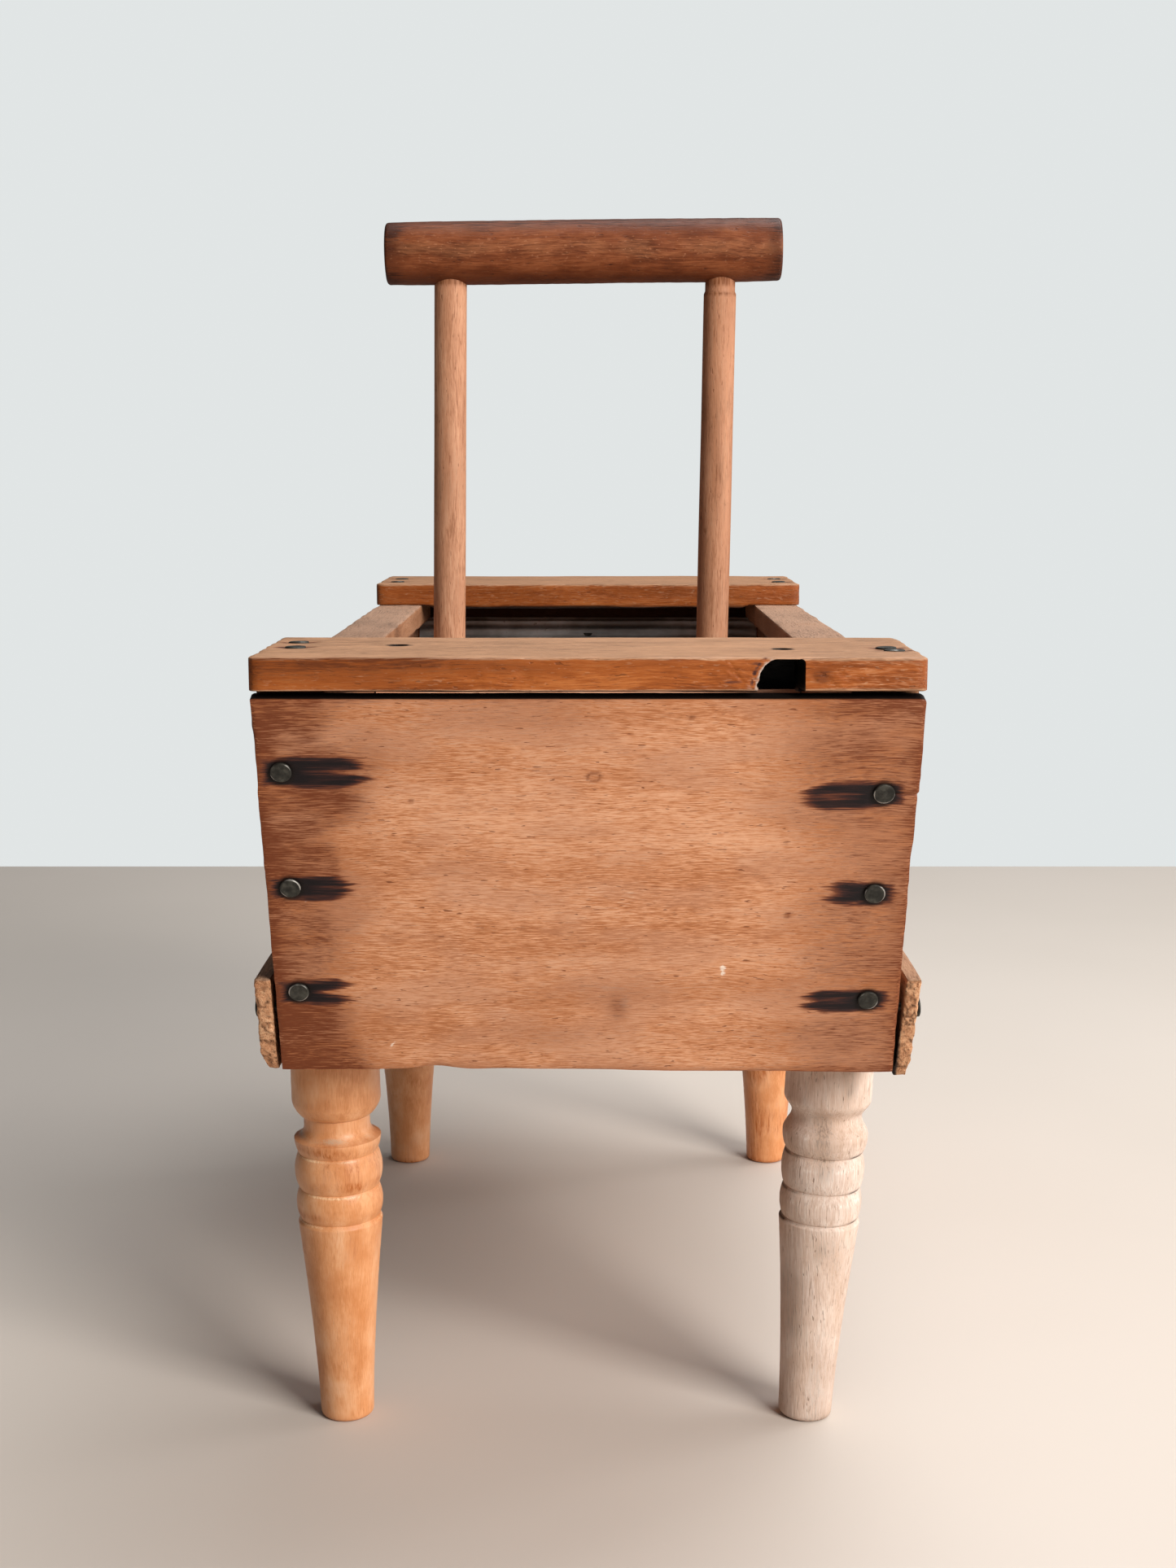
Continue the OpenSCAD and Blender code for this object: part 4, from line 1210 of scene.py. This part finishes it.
def buildCrossbar():
    start, end = axisOf("handle_crossbar", 0)
    low, high = limits("handle_crossbar")
    length = np.linalg.norm(end - start)
    radius = np.ptp(nodePoints("handle_crossbar")[:, 1]) / 2
    lip = handleLook["barEnd"] * mm
    turn = np.linspace(0, np.pi / 2, 6)
    ends = lip * (1 - np.cos(turn))
    body = np.linspace(lip, length - lip, 130)[1:-1]
    rounded = radius - lip * (1 - np.sin(turn))
    face = np.linspace(0.15, 0.85, 4) * rounded[0]
    z = np.concatenate([0 * face, ends, body, (length - ends)[::-1], 0 * face + length])
    r = np.concatenate([face, rounded, 0 * body + radius, rounded[::-1], face[::-1]])
    points, quads = lathe(z, r, 96)
    size = np.hypot(points[:, 0], points[:, 1])
    lumps = softNoise(points * (1, 1, 0.25), 0.006, 91) * handleLook["barLumps"]
    lumps += softNoise(points, 0.0018, 92) * 0.05
    points[:, :2] *= (1 + lumps * mm / np.maximum(size, 3 * mm))[:, None]
    toEnd = np.minimum(points[:, 2], length - points[:, 2])
    points[:, :2] *= (1 - 0.02 * smooth(0.02, 0.0, toEnd) ** 2)[:, None]
    mesh = makeMesh("crossbarTurned", layAlong(points, start, end), quads)
    p = meshPoints(mesh)
    ends = np.minimum(p[:, 0] - low[0], high[0] - p[:, 0])
    grime = 0.75 * fade(9, 1, ends) * (0.75 + 0.4 * softNoise(p, 0.006, 93))
    height = (p[:, 2] - (low[2] + high[2]) / 2) / radius
    grime += 0.60 * smooth(0.25, 0.95, height + 0.15 * softNoise(p, 0.01, 94))
    grime += 0.40 * smooth(-0.45, -0.95, height)
    worn = bell((height - 0.05 - 0.12 * softNoise(p, 0.012, 96)) / 0.36)
    raw = worn * (0.62 + 0.30 * softNoise(p, (0.005, 0.003, 0.003), 95))
    paint(mesh, grime=grime, raw=raw)
    addPiece("crossbarTurned", mesh, "handle", barFinish, ["handle_crossbar"])


def buildRod(name, detail, necked):
    start, end = axisOf(name, 2)
    length = np.linalg.norm(end - start)
    radius = np.ptp(nodePoints(name)[:, 1]) / 2
    underBar = limits("handle_crossbar")[0][2]
    z = np.linspace(0, length, 190)
    r = 0 * z + radius
    if necked:
        shoulder = underBar - start[2] - handleLook["neckBelow"] * mm
        cut = radius - handleLook["neckDiameter"] / 2 * mm
        r -= cut * smooth(shoulder - 0.3 * mm, shoulder + 0.7 * mm, z)
    points, quads = lathe(z, r, 56)
    size = np.hypot(points[:, 0], points[:, 1])
    lumps = softNoise(points * (1, 1, 0.12), 0.004, 96) * handleLook["rodLumps"]
    points[:, :2] *= (1 + lumps * mm / np.maximum(size, 2 * mm))[:, None]
    mesh = makeMesh(detail, layAlong(points, start, end), quads)
    p = meshPoints(mesh)
    top = smooth(underBar - 1.2 * mm, underBar + 1 * mm, p[:, 2])
    grime = 0.5 * top + (0.30 if necked else 0.12) + 0.2 * softNoise(p, (0.004, 0.004, 0.02), 97)
    if necked:
        line = bell((p[:, 2] - (start[2] + shoulder)) / (0.5 * mm))
        grime += 0.5 * line
    paint(mesh, grime=grime)
    addPiece(detail, mesh, "handle", dowelFinish, [name])


buildCrossbar()
buildRod("left_handle_rod", "dowelLeft", False)
buildRod("right_handle_rod", "dowelRight", True)
print("handle made")

linerLook = {"ribPitch": 4.3, "ribHeight": 1.5, "sheet": 0.5, "border": 0.5, "cornerRun": 9.0}


def buildLiner():
    # A flat path down one slope, along the bottom and up the other, sampled evenly and
    # smoothed so that its corners are round; ribs are a cosine of the distance along it.
    look = linerLook
    low, high = limits("ribbed_liner")
    floorZ = low[2]
    topReach = endFoot + (high[2] - undersideZ) * endRise - endRun
    lowReach = endFoot + (floorZ - undersideZ) * endRise - endRun
    corners = np.array([[-topReach, high[2]], [-lowReach, floorZ], [lowReach, floorZ], [topReach, high[2]]])
    runs = np.linalg.norm(np.diff(corners, axis=0), axis=1)
    total = runs.sum()
    s = np.linspace(0, total, 1000)
    edges = np.concatenate([[0], np.cumsum(runs)])
    path = np.stack([np.interp(s, edges, corners[:, k]) for k in (0, 1)], -1)
    window = int(look["cornerRun"] * mm / (total / 1000))
    padded = np.concatenate([2 * path[0] - path[window:0:-1], path, 2 * path[-1] - path[-2:-window - 2:-1]])
    kernel = np.hanning(2 * window + 1)
    path = np.stack([np.convolve(padded[:, k], kernel / kernel.sum(), "valid") for k in (0, 1)], -1)
    slope = np.gradient(path, axis=0)
    slope /= np.linalg.norm(slope, axis=1, keepdims=True)
    normal = np.stack([-slope[:, 1], slope[:, 0]], -1)
    flatEnds = fade(0, 2, np.minimum(s, total - s) - look["border"] * mm)
    rib = (0.5 - 0.5 * np.cos(2 * np.pi * s / (look["ribPitch"] * mm))) * look["ribHeight"] * mm
    x = np.linspace(low[0] + 0.3 * mm, high[0] - 0.3 * mm, 41)
    sideFade = fade(0, 3, np.minimum(x - x[0], x[-1] - x) - 1.5 * mm)
    lift = rib[:, None] * flatEnds[:, None] * sideFade[None, :]
    rows = []
    for thick in (0.0, look["sheet"] * mm):
        yz = path[:, None, :] + normal[:, None, :] * (lift + thick + 0.02 * mm)[..., None]
        rows.append(np.concatenate([np.broadcast_to(x[None, :, None], lift.shape + (1,)), yz], -1))
    under, over = rows
    dents = softNoise(over.reshape(-1, 3), 0.02, 101).reshape(lift.shape)
    over = over + dents[..., None] * np.array([0, 0.1, 0.1]) * mm
    skirt = np.concatenate([over, under[:, ::-1]], axis=1)
    points = skirt.reshape(-1, 3)
    count = skirt.shape[1]
    quads = gridQuads(len(s), count, wrap=True)
    half = count // 2
    caps = []
    k = np.arange(half - 1)
    for row, flip in ((0, False), (len(s) - 1, True)):
        cap = row * count + np.stack([k, k + 1, count - 2 - k, count - 1 - k], -1)
        caps.append(cap[:, ::-1] if flip else cap)
    mesh = outwards(makeMesh("linerRibbed", points, np.concatenate([quads, *caps])))
    addPiece("linerRibbed", mesh, "tub", linerFinish, ["ribbed_liner"])


buildLiner()
print("liner ribbed")

nailLook = {"headDiameter": 5.4, "shankDiameter": 2.15, "thick": 0.85}


def buildNails(node):
    # Each nail is turned about its own axis: point, shank, underside, rolled rim and a
    # nearly flat, hammer-dented face. All nails of a joint are one mesh.
    look = {**nailLook, **nailSets[node]}
    heads = nailPlaces[node]
    outward = np.array(look["outward"], float)
    outward /= np.linalg.norm(outward)
    headR, shankR = look["headDiameter"] / 2 * mm, look["shankDiameter"] / 2 * mm
    thick, length, sink = look["thick"] * mm, look["length"] * mm, look["sink"] * mm
    z = np.array([-length, -length + 2.5 * mm, -thick, -thick, -thick * 0.75, -thick * 0.4, -thick * 0.15,
                  -0.02 * mm, 0.04 * mm, 0.06 * mm, 0.02 * mm, 0.05 * mm, 0.08 * mm])
    r = np.array([0.15 * mm, shankR, shankR, headR * 0.94, headR * 0.985, headR, headR * 0.99, headR * 0.95,
                  headR * 0.90, headR * 0.84, headR * 0.72, headR * 0.45, headR * 0.2])
    shape, quads = lathe(z, r, 36)
    allPoints, allQuads = [], []
    for number, head in enumerate(heads):
        points = shape.copy()
        face = points[:, 2] > -thick * 0.2
        points[:, 2] += face * softNoise(points + number, 0.0014, 111) * 0.05 * mm
        tilt = np.random.default_rng(120 + number).uniform(-0.03, 0.03, 2)
        points[:, 2] += face * (points[:, :2] @ tilt)
        seat = head - sink * outward
        allPoints.append(layAlong(points, seat, seat + outward))
        allQuads.append(quads + number * len(shape))
    mesh = makeMesh(look["detail"], np.concatenate(allPoints), np.concatenate(allQuads))
    p = meshPoints(mesh)
    rim = np.zeros(len(p))
    for number, head in enumerate(heads):
        offset = p - head
        depth = offset @ outward
        size = np.linalg.norm(offset - depth[:, None] * outward, axis=1)
        near = bell((size - headR * 0.95) / (0.22 * mm)) * (depth > -0.5 * mm)
        rim = np.maximum(rim, near * (0.45 + 0.8 * softNoise(offset + number * 0.003, 0.0025, 113)))
    paint(mesh, rim=rim)
    addPiece(look["detail"], mesh, "tub", nailFinish, [node])


for nodeName in nailSets:
    buildNails(nodeName)
print("nails made")

# CAD pieces that keep their shape
plainFinishes = {
    "bottom_board": sideFinish, "rocker_shaft": shaftFinish, "dasher_block": shaftFinish,
    "bottom_nails": nailFinish, "liner_tacks": nailFinish, "crossbar_brads": nailFinish,
    "shaft_brads": nailFinish, "dasher_brads": nailFinish,
}
for nodeName, finish in plainFinishes.items():
    for place in nodes[nodeName].material_slots:
        place.material = finish
print("plain pieces finished")
